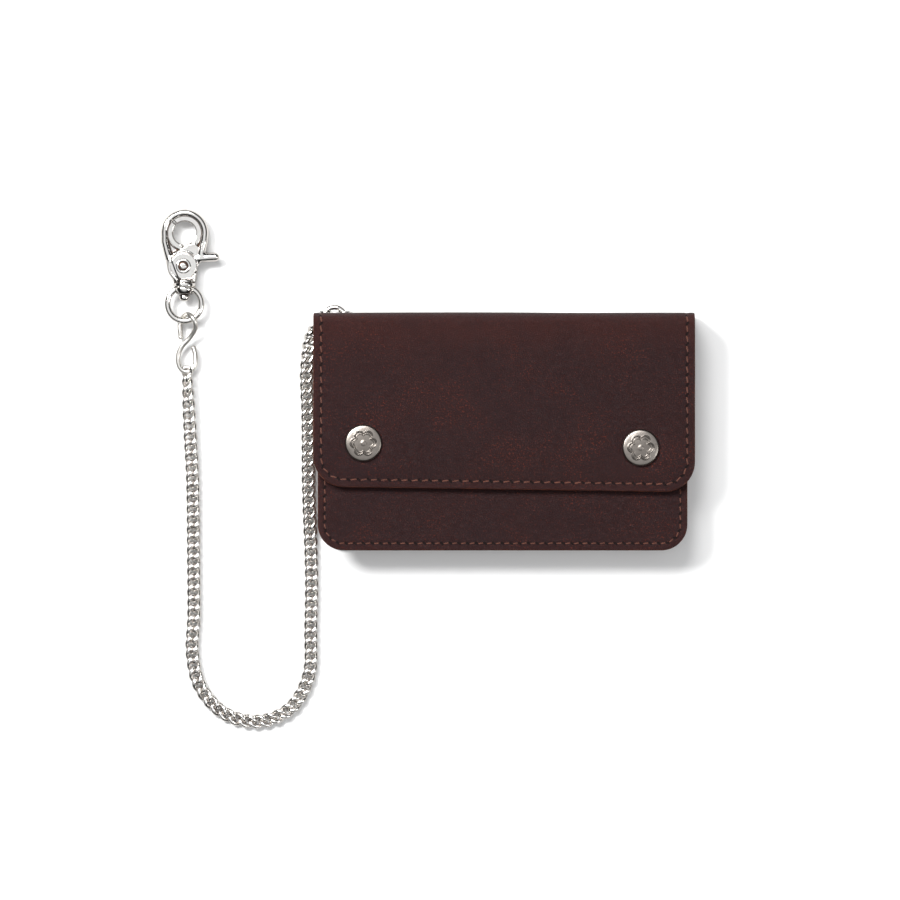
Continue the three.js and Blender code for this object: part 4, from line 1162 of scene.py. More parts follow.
class LeatherCase:
    """The wallet's leather: the folded hide in two halves, the front, the lining and the gusset."""

    pinch_sink: float = 0.55 * MM

    def __init__(self) -> None:
        """Takes the sizes from the frame."""
        at = LAYERS
        caps = [middle("snap_cap_left"), middle("snap_cap_right")]
        cap_radius = (high("snap_cap_left", 0) - low("snap_cap_left", 0)) / 2
        pinches = [(cap.x, cap.y, cap_radius - 0.4 * MM, self.pinch_sink) for cap in caps]
        back_bend = Bend(0.0, -1.0, True)
        flap_bend = Bend(at.top, 1.0, True)
        self.back = Sheet(
            "back_hide", Outline(at.body_left, at.body_right, at.bottom, at.bottom, at.body_corner,
                                 back_bend.length),
            back_bend, at.hide, at.body_stitch_inset, 0.35 * MM, ripple=0.0,
            flare=(at.right - at.left - at.body_right + at.body_left) / 2)
        self.flap = Sheet(
            "flap_hide", Outline(at.left, at.right, at.flap_low_left, at.flap_low_right,
                                 at.flap_corner, flap_bend.length),
            flap_bend, at.hide, at.flap_stitch_inset, 0.20 * MM, ripple=0.28 * MM, seed=2.0,
            pinches=pinches, droop=1.15 * MM)
        self.front = Sheet(
            "front_hide", Outline(at.body_left, at.body_right, at.bottom, at.bottom, at.body_corner,
                                  at.mouth, top_free=True),
            Bend(at.front_high, 1.0), at.hide, at.body_stitch_inset, 0.20 * MM,
            ripple=0.22 * MM, seed=5.0)
        inset = 0.3 * MM
        self.lining = Sheet(
            "flap_lining_leather",
            Outline(at.left + inset, at.right - inset, at.flap_low_left + inset,
                    at.flap_low_right + inset, at.flap_corner - inset, at.panel_top, top_free=True),
            Bend(at.lining_high, 1.0), at.lining_high - at.lining_low, bevel=0.25 * MM,
            ripple=0.28 * MM, seed=2.0, droop=1.15 * MM)

    def build(self) -> None:
        """Makes the leather pieces: rides the front, the lining, the gusset and three rows of stitches on
        their bodies, and bakes the back, the flap and the flap's stitches in place.
        """
        faces = [OUTER_LEATHER, FLESH_SIDE, CUT_EDGE]
        back = self.back.piece().make(faces, "outer_leather", ["back_panel"])
        flap = self.flap.piece().make(faces, "outer_leather", ["flap_outer", "spine_fold"])
        self.cut_eyelet_holes([back, flap])
        bend_at_back(back)
        bend_at_flap(flap)
        front = self.front.piece().make(faces, "outer_leather", ["front_panel"])
        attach(front, "wallet_body")
        lining = self.lining.piece().make(
            [INNER_LEATHER, INNER_LEATHER, CUT_EDGE], "inner_leather", ["flap_lining"])
        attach(lining, "flap")
        Gusset(self.front.outline).build()
        self.stitch()

    def cut_eyelet_holes(self, halves: list[bpy.types.Object]) -> None:
        """Cuts the two holes in the fold that the eyelets sit in, out of both halves of the hide.

        Args:
            halves: the hide's two pieces.
        """
        cutters = Piece("eyelet_cutter")
        for node in ("eyelet_left", "eyelet_right"):
            rod = [(0, LAYERS.fold - 4 * MM), (2.35 * MM, LAYERS.fold - 4 * MM),
                   (2.35 * MM, LAYERS.fold + 2 * MM), (0, LAYERS.fold + 2 * MM)]
            cutters.lathe(rod, middle(node), "Y", 32)
        tool = cutters.make([CUT_EDGE], "outer_leather", [])
        for half in halves:
            carve = half.modifiers.new("eyelets", "BOOLEAN")
            carve.operation = "DIFFERENCE"
            carve.solver = "EXACT"
            carve.object = tool
            apply_modifiers(half)
        bpy.data.objects.remove(tool)

    def stitch(self) -> None:
        """Sews the flap to its lining, and the front to the back through the gusset."""
        wide = Stitches(pitch=4.4 * MM, length=3.1 * MM)
        close = Stitches(pitch=3.75 * MM, length=2.5 * MM, radius=0.27 * MM)
        flap_row = Piece("flap_stitches")
        line = self.flap.outline.line(LAYERS.flap_stitch_inset, LAYERS.fold_start + 4.5 * MM)
        wide.sew(flap_row, self.flap, line, True)
        row = flap_row.make([THREAD, AWL_HOLE_SHADE], "thread", ["flap_thread"])
        bend_at_flap(row)
        under_row = Piece("lining_stitches")
        line = self.lining.outline.line(LAYERS.flap_stitch_inset - 0.3 * MM, LAYERS.panel_top - 1 * MM)
        wide.sew(under_row, self.lining, line, False)
        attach(under_row.make([THREAD, AWL_HOLE_SHADE], "thread", []), "flap")
        front_row = Piece("front_stitches")
        line = self.front.outline.line(LAYERS.body_stitch_inset, LAYERS.mouth - 3 * MM)
        close.sew(front_row, self.front, line, True)
        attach(front_row.make([THREAD, AWL_HOLE_SHADE], "thread", ["body_thread"]), "wallet_body")
        back_row = Piece("back_stitches")
        line = self.back.outline.line(LAYERS.body_stitch_inset, LAYERS.gusset_top - 3 * MM)
        Stitches(3.75 * MM, 2.7 * MM, 0.26 * MM).sew(back_row, self.back, line, True)
        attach(back_row.make([THREAD, AWL_HOLE_SHADE], "thread", []), "wallet_body")


def bend_at_back(piece: bpy.types.Object) -> None:
    """Bakes a piece's placement into its mesh; its bend over the fold's lower corner is already in its shape.
    """
    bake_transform(piece)


def bend_at_flap(piece: bpy.types.Object) -> None:
    """Bakes a piece's placement into its mesh; its bend over the fold's upper corner is already in its shape.
    """
    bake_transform(piece)


def apply_modifiers(piece: bpy.types.Object) -> None:
    """Applies all modifiers of a piece to its mesh.

    Args:
        piece: the piece.
    """
    graph = bpy.context.evaluated_depsgraph_get()
    baked = bpy.data.meshes.new_from_object(piece.evaluated_get(graph), depsgraph=graph)
    piece.modifiers.clear()
    piece.data = baked


@dataclass
class Gusset:
    """The gusset: one strip round three sides, folded inwards along its middle."""

    outline: Outline
    edge: float = 1.0 * MM
    depth: float = 3.0 * MM
    leather: float = 0.8 * MM

    def build(self) -> None:
        """Makes the strip and rides it on the wallet's body."""
        at = LAYERS
        low_z, high_z = at.hide + 0.05 * MM, at.front_low - 0.05 * MM
        share = np.linspace(0, 1, 15)
        height = low_z + (high_z - low_z) * share
        fold = self.depth * np.sin(math.pi * share) ** 0.8
        outside = np.stack([self.edge + fold, height], axis=1)
        inside = np.stack([self.edge + self.leather + fold, height], axis=1)[::-1]
        section = np.vstack([outside, inside])
        line = self.outline.line(0.0, at.gusset_top)
        line = resample(line, np.linspace(0, distances(line)[-1], 300))
        way = tangents(line)
        inward = np.stack([-way[:, 1], way[:, 0]], axis=1)
        wave = 0.15 * MM * np.sin(distances(line) / (4.4 * MM))
        flat = line[:, None, :] + inward[:, None, :] * (section[None, :, :1] + wave[:, None, None])
        points = np.concatenate([flat, np.tile(section[None, :, 1:], (len(line), 1, 1))], axis=2)
        along = np.tile(distances(line)[:, None], (1, len(section)))
        around = np.tile(np.concatenate([share, share[::-1]])[None] * (high_z - low_z), (len(line), 1))
        made = Piece("gusset_strip")
        made.grid(points, round_v=True, cap=True,
                  coords=np.stack([along, around, along * 0], axis=2))
        strip = made.make([INNER_LEATHER], "inner_leather", ["gusset_left", "gusset_right", "gusset_bottom"])
        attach(strip, "wallet_body")


@dataclass
class Interior:
    """What lies inside: the divider, the card pockets and the coin pocket's back wall."""

    nodes: tuple[str, ...] = ("bill_divider", "card_pocket_1", "card_pocket_2", "card_pocket_3",
                              "coin_pocket_wall")
    corner: float = 6.5 * MM

    def build(self) -> None:
        """Makes each leaf as thin leather with a creased top edge."""
        for number, node in enumerate(self.nodes):
            first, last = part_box(node)
            sheet = Sheet(
                node + "_leather",
                Outline(first.x, last.x, first.y, first.y, self.corner, last.y, top_free=True),
                Bend(last.z, 1.0), last.z - first.z, groove_inset=1.6 * MM, groove_depth=0.08 * MM,
                bevel=0.2 * MM, seed=20.0 + number, step=3 * MM)
            leaf = sheet.piece().make([INNER_LEATHER, INNER_LEATHER, CUT_EDGE], "inner_leather", [node])
            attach(leaf, "wallet_body")


# ---------------------------------------------------------------- snaps and eyelets

@dataclass
class Snap:
    """One snap: cap and socket in the flap, stud and post in the front."""

    side: str
    petals: int = 6
    rings: int = 88
    sides: int = 256

    def cap_height(self, radius: Array, turn: Array) -> Array:
        """The cap's height over its rim: rolled edge, dome and a petal rosette with two outlines.

        Args:
            radius: the points' distance from the cap's middle.
            turn: their angle round it.

        Returns:
            The height at each point.
        """
        r = radius / MM
        dome = 1.40 * np.sqrt(np.clip(1 - (r / 8.3) ** 2, 0, 1))
        roll = -0.45 * np.clip((r - 7.3) / 0.7, 0, 1) ** 2.0
        return (0.25 + dome + roll + 0.24 * self.raised(r, turn) - 0.20 * self.sunk(r, turn)) * MM

    def petal(self, turn: Array) -> Array:
        """How far out the rosette's outline reaches, in millimetres."""
        return 4.0 + 1.5 * np.abs(np.cos(turn * self.petals / 2)) ** 0.8

    def raised(self, r: Array, turn: Array) -> Array:
        """Where the rosette's lines stand up, from 0 to 1.

        Args:
            r: the points' distance from the middle, in millimetres.
            turn: their angle round it.

        Returns:
            The share at each point.
        """
        outer = np.exp(-((r - self.petal(turn)) / 0.30) ** 2)
        inner = np.exp(-((r - self.petal(turn) * 0.78) / 0.20) ** 2)
        return np.clip(outer + 0.8 * inner + np.exp(-(r / 1.1) ** 4), 0, 1)

    def sunk(self, r: Array, turn: Array) -> Array:
        """How far the field inside the rosette is sunk, from 0 to 1."""
        return 1 - smoothstep(r, self.petal(turn) - 0.5, self.petal(turn) + 0.1)

    def build(self) -> None:
        """Makes the four pieces of the snap."""
        self.cap()
        self.socket()
        self.stud_and_post()

    def cap(self) -> None:
        """The domed cap with its rosette, and its shank."""
        node = f"snap_cap_{self.side}"
        place = middle(node)
        radius_out = (high(node, 0) - low(node, 0)) / 2
        base = LAYERS.top - LeatherCase.pinch_sink + 0.05 * MM
        radius = radius_out * np.linspace(1, 0, self.rings) ** 0.8
        turn = np.arange(self.sides) * 2 * math.pi / self.sides
        r, a = np.meshgrid(radius, turn, indexing="ij")
        z = base + 0.35 * MM + self.cap_height(r, a)
        r = np.maximum(r, 1e-6)
        near_line = np.exp(-((r / MM - self.petal(a) - 0.35) / 0.22) ** 2)
        dark = 0.85 * self.sunk(r / MM, a) * (1 - self.raised(r / MM, a)) + 0.6 * near_line
        top = np.stack([place.x + r * np.cos(a), place.y + r * np.sin(a), z], axis=2)
        under = np.stack([place.x + 0.985 * radius_out * np.cos(turn),
                          place.y + 0.985 * radius_out * np.sin(turn), turn * 0 + base], axis=1)
        made = Piece(f"snap_cap_{self.side}_domed")
        made.grid(np.concatenate([under[None], top]), round_v=True, cap=True,
                  mask=np.clip(np.concatenate([dark[:1] * 0 + 0.5, dark]), 0, 1))
        shank_low = low(node, 2)
        made.lathe([(0, shank_low), (1.7 * MM, shank_low), (1.7 * MM, base), (0, base)], place, sides=32)
        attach(made.make([ANTIQUE], "antique_nickel", [node], 60), "flap")

    def socket(self) -> None:
        """The socket's rolled cup."""
        node = f"snap_socket_{self.side}"
        place, low_z, high_z = middle(node), low(node, 2), high(node, 2)
        outer = (high(node, 0) - low(node, 0)) / 2
        mouth, wall, roll = 3.15 * MM, 0.35 * MM, 0.5 * MM
        made = Piece(f"snap_socket_{self.side}_rolled")
        profile = [(mouth, low_z + roll), (mouth + 0.15 * MM, low_z + 0.1 * MM), (mouth + roll, low_z),
                   (outer - roll, low_z + 0.35 * MM), (outer - 0.1 * MM, low_z + 0.7 * MM),
                   (outer, low_z + 1.0 * MM), (outer, high_z - 0.15 * MM), (outer - 0.15 * MM, high_z),
                   (2.2 * MM, high_z), (2.2 * MM, high_z - wall), (mouth, high_z - wall),
                   (mouth, low_z + roll)]
        made.lathe(profile, place, mask=[0.5, 0.1, 0, 0.1, 0.4, 0.3, 0.3, 0.3, 0.5, 0.8, 0.8, 0.5])
        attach(made.make([ANTIQUE], "antique_nickel", [node]), "flap")

    def stud_and_post(self) -> None:
        """The stud's hollow post on its flange, and the post's disc behind the leather."""
        node = f"snap_stud_{self.side}"
        place, low_z, high_z = middle(node), low(node, 2), high(node, 2)
        flange = (high(node, 0) - low(node, 0)) / 2
        head, neck, bore = 2.6 * MM, 2.25 * MM, 2.05 * MM
        made = Piece(f"snap_stud_{self.side}_turned")
        made.lathe([(bore, low_z), (flange - 0.1 * MM, low_z), (flange, low_z + 0.12 * MM),
                    (flange - 0.3 * MM, low_z + 0.34 * MM), (3.0 * MM, low_z + 0.4 * MM),
                    (neck, low_z + 0.7 * MM), (neck, high_z - 0.9 * MM), (head, high_z - 0.5 * MM),
                    (head - 0.15 * MM, high_z - 0.15 * MM), (bore + 0.2 * MM, high_z), (bore, high_z),
                    (bore, low_z)], place)
        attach(made.make([ANTIQUE], "antique_nickel", [node]), "wallet_body")
        node = f"snap_post_{self.side}"
        low_z, high_z = low(node, 2), high(node, 2)
        disc = (high(node, 0) - low(node, 0)) / 2
        made = Piece(f"snap_post_{self.side}_turned")
        made.lathe([(0, low_z), (disc - 0.2 * MM, low_z), (disc, low_z + 0.15 * MM),
                    (disc - 0.1 * MM, low_z + 0.4 * MM), (1.9 * MM, low_z + 0.4 * MM),
                    (1.7 * MM, low_z + 0.6 * MM), (1.7 * MM, high_z - 0.15 * MM), (1.5 * MM, high_z),
                    (0, high_z)], place)
        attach(made.make([ANTIQUE], "antique_nickel", [node]), "wallet_body")


@dataclass
class Fastening:
    """The chain's fastening in the fold: two eyelets and the ring that passes through them."""

    wire: float = 1.1 * MM
    radius: float = 4.6 * MM

    def build(self) -> None:
        """Makes the eyelets and the ring."""
        for side in ("left", "right"):
            node = f"eyelet_{side}"
            place, inside, outside = middle(node), low(node, 1), high(node, 1)
            flange = (high(node, 0) - low(node, 0)) / 2
            bore, roll = 1.8 * MM, 0.45 * MM
            profile = [(bore, inside + roll), (bore + 0.13 * MM, inside + 0.1 * MM), (bore + roll, inside),
                       (flange - 0.1 * MM, inside + 0.1 * MM), (flange, inside + roll),
                       (bore + roll, inside + roll), (bore + roll, outside - roll),
                       (flange, outside - roll), (flange - 0.1 * MM, outside - 0.15 * MM),
                       (bore + roll, outside), (bore + 0.13 * MM, outside - 0.1 * MM),
                       (bore, outside - roll), (bore, inside + roll)]
            made = Piece(f"eyelet_{side}_rolled")
            made.lathe(profile, place, "Y", 48)
            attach(made.make([NICKEL], "nickel", [node]), "spine")
        place = middle("attachment_ring")
        made = Piece("attachment_ring_wire")
        made.tube(circle(place, self.radius, 96), self.wire, 16, closed=True)
        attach(made.make([NICKEL], "nickel", ["attachment_ring"], 80), "spine")


# ---------------------------------------------------------------- cast metal

class Cast:
    """A cast metal body: flat shapes given thickness and melted together, in millimetres."""

    def __init__(self, first: tuple[float, float, float], last: tuple[float, float, float],
                 step: float = 0.18) -> None:
        """Starts with nothing in the box from first to last.

        Args:
            first: the box's low corner.
            last: its high corner.
            step: the grid's step.
        """
        axes = [np.arange(a, b + step, step) for a, b in zip(first, last)]
        self.first = np.array(first)
        self.step = step
        self.x, self.y = np.meshgrid(axes[0], axes[1], indexing="ij")
        self.z = axes[2]
        # how dark the hollows are painted as shade
        self.cavity_shade = 0.85
        self.field = np.full((*self.x.shape, len(self.z)), 4.0)

    def disc(self, x: float, y: float, radius: float) -> Array:
        """The flat distance from a disc."""
        return np.hypot(self.x - x, self.y - y) - radius

    def polygon(self, corners: list[tuple[float, float]]) -> Array:
        """The flat signed distance from a polygon.

        Args:
            corners: its corners in order.

        Returns:
            The distance at each place of the grid.
        """
        away = np.full(self.x.shape, 1e9)
        inside = np.zeros(self.x.shape, bool)
        for (ax, ay), (bx, by) in zip(corners, corners[1:] + corners[:1]):
            away = np.minimum(away, self.from_span(ax, ay, bx, by)[0])
            if ay != by:
                crosses = (ay > self.y) != (by > self.y)
                inside ^= crosses & (self.x < (bx - ax) * (self.y - ay) / (by - ay) + ax)
        return np.where(inside, -away, away)

    def from_span(self, ax: float, ay: float, bx: float, by: float) -> tuple[Array, Array]:
        """The flat distance from a straight span, and the share along it of the nearest point.

        Args:
            ax: the x of its start.
            ay: the y of its start.
            bx: the x of its end.
            by: the y of its end.

        Returns:
            The distance and the share at each place of the grid.
        """
        wide, tall = bx - ax, by - ay
        share = ((self.x - ax) * wide + (self.y - ay) * tall) / max(wide ** 2 + tall ** 2, 1e-9)
        share = np.clip(share, 0, 1)
        return np.hypot(self.x - ax - share * wide, self.y - ay - share * tall), share

    def bead(self, line: list[tuple[float, float, float]], height: float, middle_z: float,
             melt: float = 0.5) -> None:
        """Adds a rounded bead along a line.

        Args:
            line: x, y and half width at each point.
            height: half its height.
            middle_z: the height of its middle.
            melt: how softly it joins what is there.
        """
        ratio = np.full(self.x.shape, 1e9)
        half = np.ones(self.x.shape)
        for (ax, ay, aw), (bx, by, bw) in zip(line, line[1:]):
            away, share = self.from_span(ax, ay, bx, by)
            width = aw + (bw - aw) * share
            nearer = away / width < ratio
            ratio = np.where(nearer, away / width, ratio)
            half = np.where(nearer, width, half)
        reach = np.sqrt(ratio[..., None] ** 2 + ((self.z - middle_z) / height) ** 2)
        self.join((reach - 1) * np.minimum(half, height)[..., None], melt)

    def plate(self, flat: Array, low_z: float, high_z: float, rounding: float, melt: float = 0.35) -> None:
        """Adds a flat shape with thickness and rounded edges."""
        self.join(self.slab(flat, low_z, high_z, rounding), melt)

    def slab(self, flat: Array, low_z: float, high_z: float, rounding: float) -> Array:
        """The distance from a flat shape with thickness and rounded edges.

        Args:
            flat: the flat shape's signed distance.
            low_z: its underside.
            high_z: its top.
            rounding: the radius of its edges.

        Returns:
            The distance at each place of the grid.
        """
        out = np.abs(self.z - (low_z + high_z) / 2) - (high_z - low_z) / 2 + rounding
        side = flat[..., None] + rounding + 0 * out
        up = out + 0 * side
        outside = np.hypot(np.maximum(side, 0), np.maximum(up, 0))
        return np.minimum(np.maximum(side, up), 0) + outside - rounding

    def turned(self, x: float, z: float, profile: list[tuple[float, float, float]],
               melt: float = 0.3) -> None:
        """Adds a stack of round collars about an upright axis in the plane: low, high, radius."""
        away = np.hypot((self.x - x)[..., None], self.z - z)
        for start, end, radius in profile:
            along = np.abs(self.y - (start + end) / 2)[..., None] - (end - start) / 2 + 0.3
            side = away - radius + 0.3
            outside = np.hypot(np.maximum(side, 0), np.maximum(along, 0))
            self.join(np.minimum(np.maximum(side, along), 0) + outside - 0.3, melt)

    def join(self, other: Array, melt: float) -> None:
        """Melts another distance into the body."""
        share = np.clip(0.5 + 0.5 * (self.field - other) / melt, 0, 1)
        self.field = self.field + (other - self.field) * share - melt * share * (1 - share)

    def cut(self, other: Array, melt: float = 0.3) -> None:
        """Takes a shape away, leaving a softened edge."""
        share = np.clip(0.5 + 0.5 * (self.field + other) / melt, 0, 1)
        self.field = self.field + (-other - self.field) * (1 - share) + melt * share * (1 - share)

    def pour(self, made: Piece, order: tuple[int, int, int] = (0, 1, 2)) -> None:
        """Adds the body to a piece, with the grid's axes taken in that order for x, y and z.

        Args:
            made: the piece.
            order: the grid axis of x, of y and of z.
        """
        grid = openvdb.FloatGrid(4.0)
        grid.copyFromArray(np.clip(self.field, -4.0, 4.0).astype(np.float32))
        points, quads = grid.convertToQuads(0.0)
        points = np.asarray(points, float)
        placed = (self.first + points * self.step)[:, list(order)] * MM
        # the mask is the shade painted into the body's hollows
        made.skin(placed, [tuple(int(c) for c in quad) for quad in quads], mask=self.hollowness(points))

    def hollowness(self, points: Array) -> Array:
        """How sharply the body is hollowed at each of its points, from 0 to 1, scaled as the shade painted
        into its hollows.

        Args:
            points: the points.

        Returns:
            The share at each point.
        """
        near = np.clip(self.field, -1.5, 1.5)
        curve = sum(np.gradient(np.gradient(near, self.step, axis=k), self.step, axis=k) for k in range(3))
        cell = [np.clip(np.rint(points[:, k]).astype(int), 0, size - 1)
                for k, size in enumerate(self.field.shape)]
        return self.cavity_shade * np.clip(-curve[cell[0], cell[1], cell[2]] / 1.6 - 0.1, 0, 1)


def arc(x: float, y: float, radius: float, start: float, end: float, steps: int = 24
        ) -> list[tuple[float, float]]:
    """Points of an arc, between two angles in degrees."""
    return [(x + radius * math.cos(math.radians(a)), y + radius * math.sin(math.radians(a)))
            for a in np.linspace(start, end, steps)]


def sector(x: float, y: float, inner: float, outer: float, start: float, end: float
           ) -> list[tuple[float, float]]:
    """The outline of a part of a flat ring."""
    return arc(x, y, outer, start, end) + arc(x, y, inner, end, start)


@dataclass
class SnapClasp:
    """The clasp: a cast body with its swivel post, a sprung jaw with a thumb lever, and the rivet."""

    axis_x: float = -139.0
    level: float = 5.0
    pivot: tuple[float, float] = (-139.4, 72.0)
    hook: tuple[float, float] = (-138.9, 86.5)
    inner: float = 5.05
    outer: float = 10.45

    def build(self) -> None:
        """Makes the clasp's pieces."""
        self.housing()
        self.jaw()
        self.rivet()
        self.post()
        self.spring()

    def housing(self) -> None:
        """The body: hook bead, web, lip, cheek, neck and collar."""
        cast = Cast((-150.6, 62.6, -0.6), (-126.0, 98.2, 10.6))
        hx, hy = self.hook
        z = self.level
        bead = [(px, py, 1.70) for px, py in arc(hx, hy, 8.75, 135.0, 186.0)]
        bead += [(-147.6, 82.6, 1.70), (-146.6, 78.6, 1.8), (-145.3, 74.2, 1.9), (-143.6, 69.4, 2.0),
                 (-142.3, 66.6, 1.9)]
        cast.bead(bead, 2.35, z)
        cast.plate(cast.polygon(sector(hx, hy, self.inner, 7.7, 137.0, 263.0)), z - 1.55, z + 1.55, 0.7)
        web = [(-146.0, 86.0), (-145.5, 79.0), (-144.3, 74.0), (-141.0, 70.0), (-135.5, 76.0), (-138.5, 80.8),
               (-142.5, 81.4)]
        cast.plate(cast.polygon(web), z - 1.15, z + 0.75, 0.3)
        neck = [(-145.2, 71.0), (-143.8, 66.2), (-143.4, 65.2), (-134.6, 65.2), (-134.0, 66.8),
                (-133.2, 70.6), (-134.8, 75.4), (-139.4, 77.8), (-144.4, 76.4)]
        cast.plate(cast.polygon(neck), z - 2.3, z - 1.2, 0.5)
        low_neck = [(-144.4, 69.6), (-143.6, 65.0), (-134.4, 65.0), (-133.6, 69.6), (-136.0, 67.4),
                    (-139.4, 66.4), (-142.6, 67.4)]
        cast.plate(cast.polygon(low_neck), z - 2.3, z + 2.3, 0.9, 0.8)
        cheek = [(px, py, 0.75) for px, py in arc(*self.pivot, 6.55, 52.0, 262.0)]
        cast.bead(cheek, 2.25, z, 0.8)
        cast.turned(self.axis_x, z, [(63.2, 64.7, 4.95), (64.7, 65.9, 4.3)])
        made = Piece("clasp_housing_cast")
        cast.pour(made)
        housing = made.make([NICKEL], "nickel", ["clasp_housing"], 60)
        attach(housing, "clasp_body")

    def jaw(self) -> None:
        """The sprung jaw: hook bead and lip, thumb lever, and its polished plate on the pivot."""
        cast = Cast((-147.0, 64.6, 1.4), (-122.4, 98.4, 8.6))
        hx, hy = self.hook
        z = self.level
        bead = [(px, py, 1.70) for px, py in arc(hx, hy, 8.75, 131.0, -8.0, 36)]
        bead += [(-130.5, 82.6, 1.75), (-131.3, 79.8, 1.8), (-131.6, 77.6, 1.9)]
        cast.bead(bead, 2.35, z)
        cast.plate(cast.polygon(sector(hx, hy, self.inner, 7.6, 131.0, -83.0)), z - 1.5, z + 1.5, 0.6)
        web = [(-138.0, 81.6), (-131.4, 83.0), (-131.2, 78.0), (-131.6, 75.6), (-132.8, 72.6), (-134.4, 69.4),
               (-136.4, 67.4), (-139.4, 66.8), (-142.4, 68.2), (-144.2, 71.6), (-143.4, 75.2), (-140.6, 78.6)]
        cast.plate(cast.polygon(web), z - 1.0, z + 1.1, 0.4)
        cast.bead([(-133.5, 75.3, 1.7), (-128.4, 75.9, 2.0), (-125.6, 76.0, 1.95)], 2.2, z, 0.9)
        plate = [(-144.6, 74.4), (-141.2, 78.6), (-138.2, 81.2), (-134.6, 82.0), (-132.6, 80.2),
                 (-132.1, 77.4), (-132.6, 74.6), (-133.9, 71.6)]
        cast.plate(cast.polygon(plate), z + 0.8, z + 1.75, 0.35, 0.3)
        cast.plate(cast.disc(*self.pivot, 5.7), z + 0.8, z + 1.9, 0.3, 0.3)
        notch = cast.slab(cast.disc(hx, hy - self.inner - 0.3, 0.85), z - 4, z + 4, 0.3)
        cast.cut(notch)
        made = Piece("clasp_jaw_cast")
        cast.pour(made)
        jaw = made.make([NICKEL], "nickel", ["clasp_jaw"], 60)
        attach(jaw, "clasp_jaw")

    def rivet(self) -> None:
        """The rivet: a raised ring on a shank, with a small dome in its recess."""
        place = middle("pivot_rivet")
        low_z, top = low("pivot_rivet", 2), high("pivot_rivet", 2)
        made = Piece("pivot_rivet_turned")
        # the mask paints shade into the rivet's recess
        made.lathe([(0, low_z), (2.6 * MM, low_z), (3.0 * MM, low_z + 0.25 * MM),
                    (2.9 * MM, low_z + 0.5 * MM), (1.2 * MM, low_z + 0.5 * MM),
                    (1.2 * MM, top - 0.6 * MM), (3.1 * MM, top - 0.6 * MM),
                    (3.2 * MM, top - 0.3 * MM), (2.95 * MM, top - 0.05 * MM), (2.55 * MM, top),
                    (2.15 * MM, top - 0.08 * MM), (1.95 * MM, top - 0.4 * MM), (1.6 * MM, top - 0.42 * MM),
                    (1.3 * MM, top - 0.2 * MM), (0.8 * MM, top - 0.05 * MM), (0, top)], place, sides=72,
                   mask=[0, 0, 0, 0.3, 0.6, 0.6, 0.3, 0, 0, 0, 0.1, 0.9, 0.9, 0.2, 0, 0])
        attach(made.make([NICKEL], "nickel", ["pivot_rivet"], 50), "clasp_body")

    def post(self) -> None:
        """The swivel post, with its mushroom head inside the ring."""
        place = middle("swivel_post")
        start, end = low("swivel_post", 1), high("swivel_post", 1)
        head = (high("swivel_post", 0) - low("swivel_post", 0)) / 2
        shank = 1.4 * MM
        crown = start + 2.8 * MM
        made = Piece("swivel_post_turned")
        # the mask paints shade under the head and on the shank
        made.lathe([(0, start), (0.6 * head, start + 0.08 * MM), (0.85 * head, start + 0.5 * MM),
                    (0.97 * head, start + 1.1 * MM), (head, start + 1.7 * MM), (head, crown - 0.5 * MM),
                    (0.86 * head, crown - 0.1 * MM), (shank, crown), (shank, end), (0, end)],
                   place, "Y", 48, mask=[0, 0, 0, 0, 0, 0.1, 0.4, 0.6, 0.3, 0.3])
        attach(made.make([NICKEL], "nickel", ["swivel_post"], 50), "clasp_body")

    def spring(self) -> None:
        """The small coil round the rivet."""
        first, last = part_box("clasp_spring")
        centre = (first + last) / 2
        wire = 0.25 * MM
        radius = (last.x - first.x) / 2 - wire
        turn = np.linspace(0, 6 * math.pi, 97)
        rise = np.linspace(first.z + wire, last.z - wire, 97)
        line = np.stack([centre.x + radius * np.cos(turn), centre.y + radius * np.sin(turn), rise], axis=1)
        made = Piece("clasp_spring_wire")
        made.tube(line, wire, 8)
        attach(made.make([NICKEL], "nickel", ["clasp_spring"]), "clasp_body")


@dataclass
class SwivelRing:
    """The ring that the clasp turns on, with the boss that its post passes through."""

    wire: float = 1.3 * MM
    radius: float = 7.4 * MM

    def build(self) -> None:
        """Makes the ring and its boss as one piece."""
        first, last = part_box("swivel_ring")
        place = Vector(((first.x + last.x) / 2, first.y + self.wire + self.radius, 5 * MM))
        made = Piece("swivel_ring_cast")
        made.tube(circle(place, self.radius, 128), self.wire, 24, closed=True)
        start, end = last.y - 2.9 * MM, last.y
        half = 4.4 * MM
        # the mask paints shade into the boss's bore
        made.lathe([(1.5 * MM, start), (3.4 * MM, start), (3.7 * MM, start + 0.3 * MM),
                    (half, end - 0.9 * MM), (half, end - 0.25 * MM), (half - 0.25 * MM, end),
                    (1.5 * MM, end), (1.5 * MM, start)],
                   place, "Y", 64, mask=[0.6, 0.4, 0.2, 0, 0, 0, 0.5, 0.6])
        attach(made.make([NICKEL], "nickel", ["swivel_ring"], 50), "wallet_body")


# ---------------------------------------------------------------- the chain and its S-hook

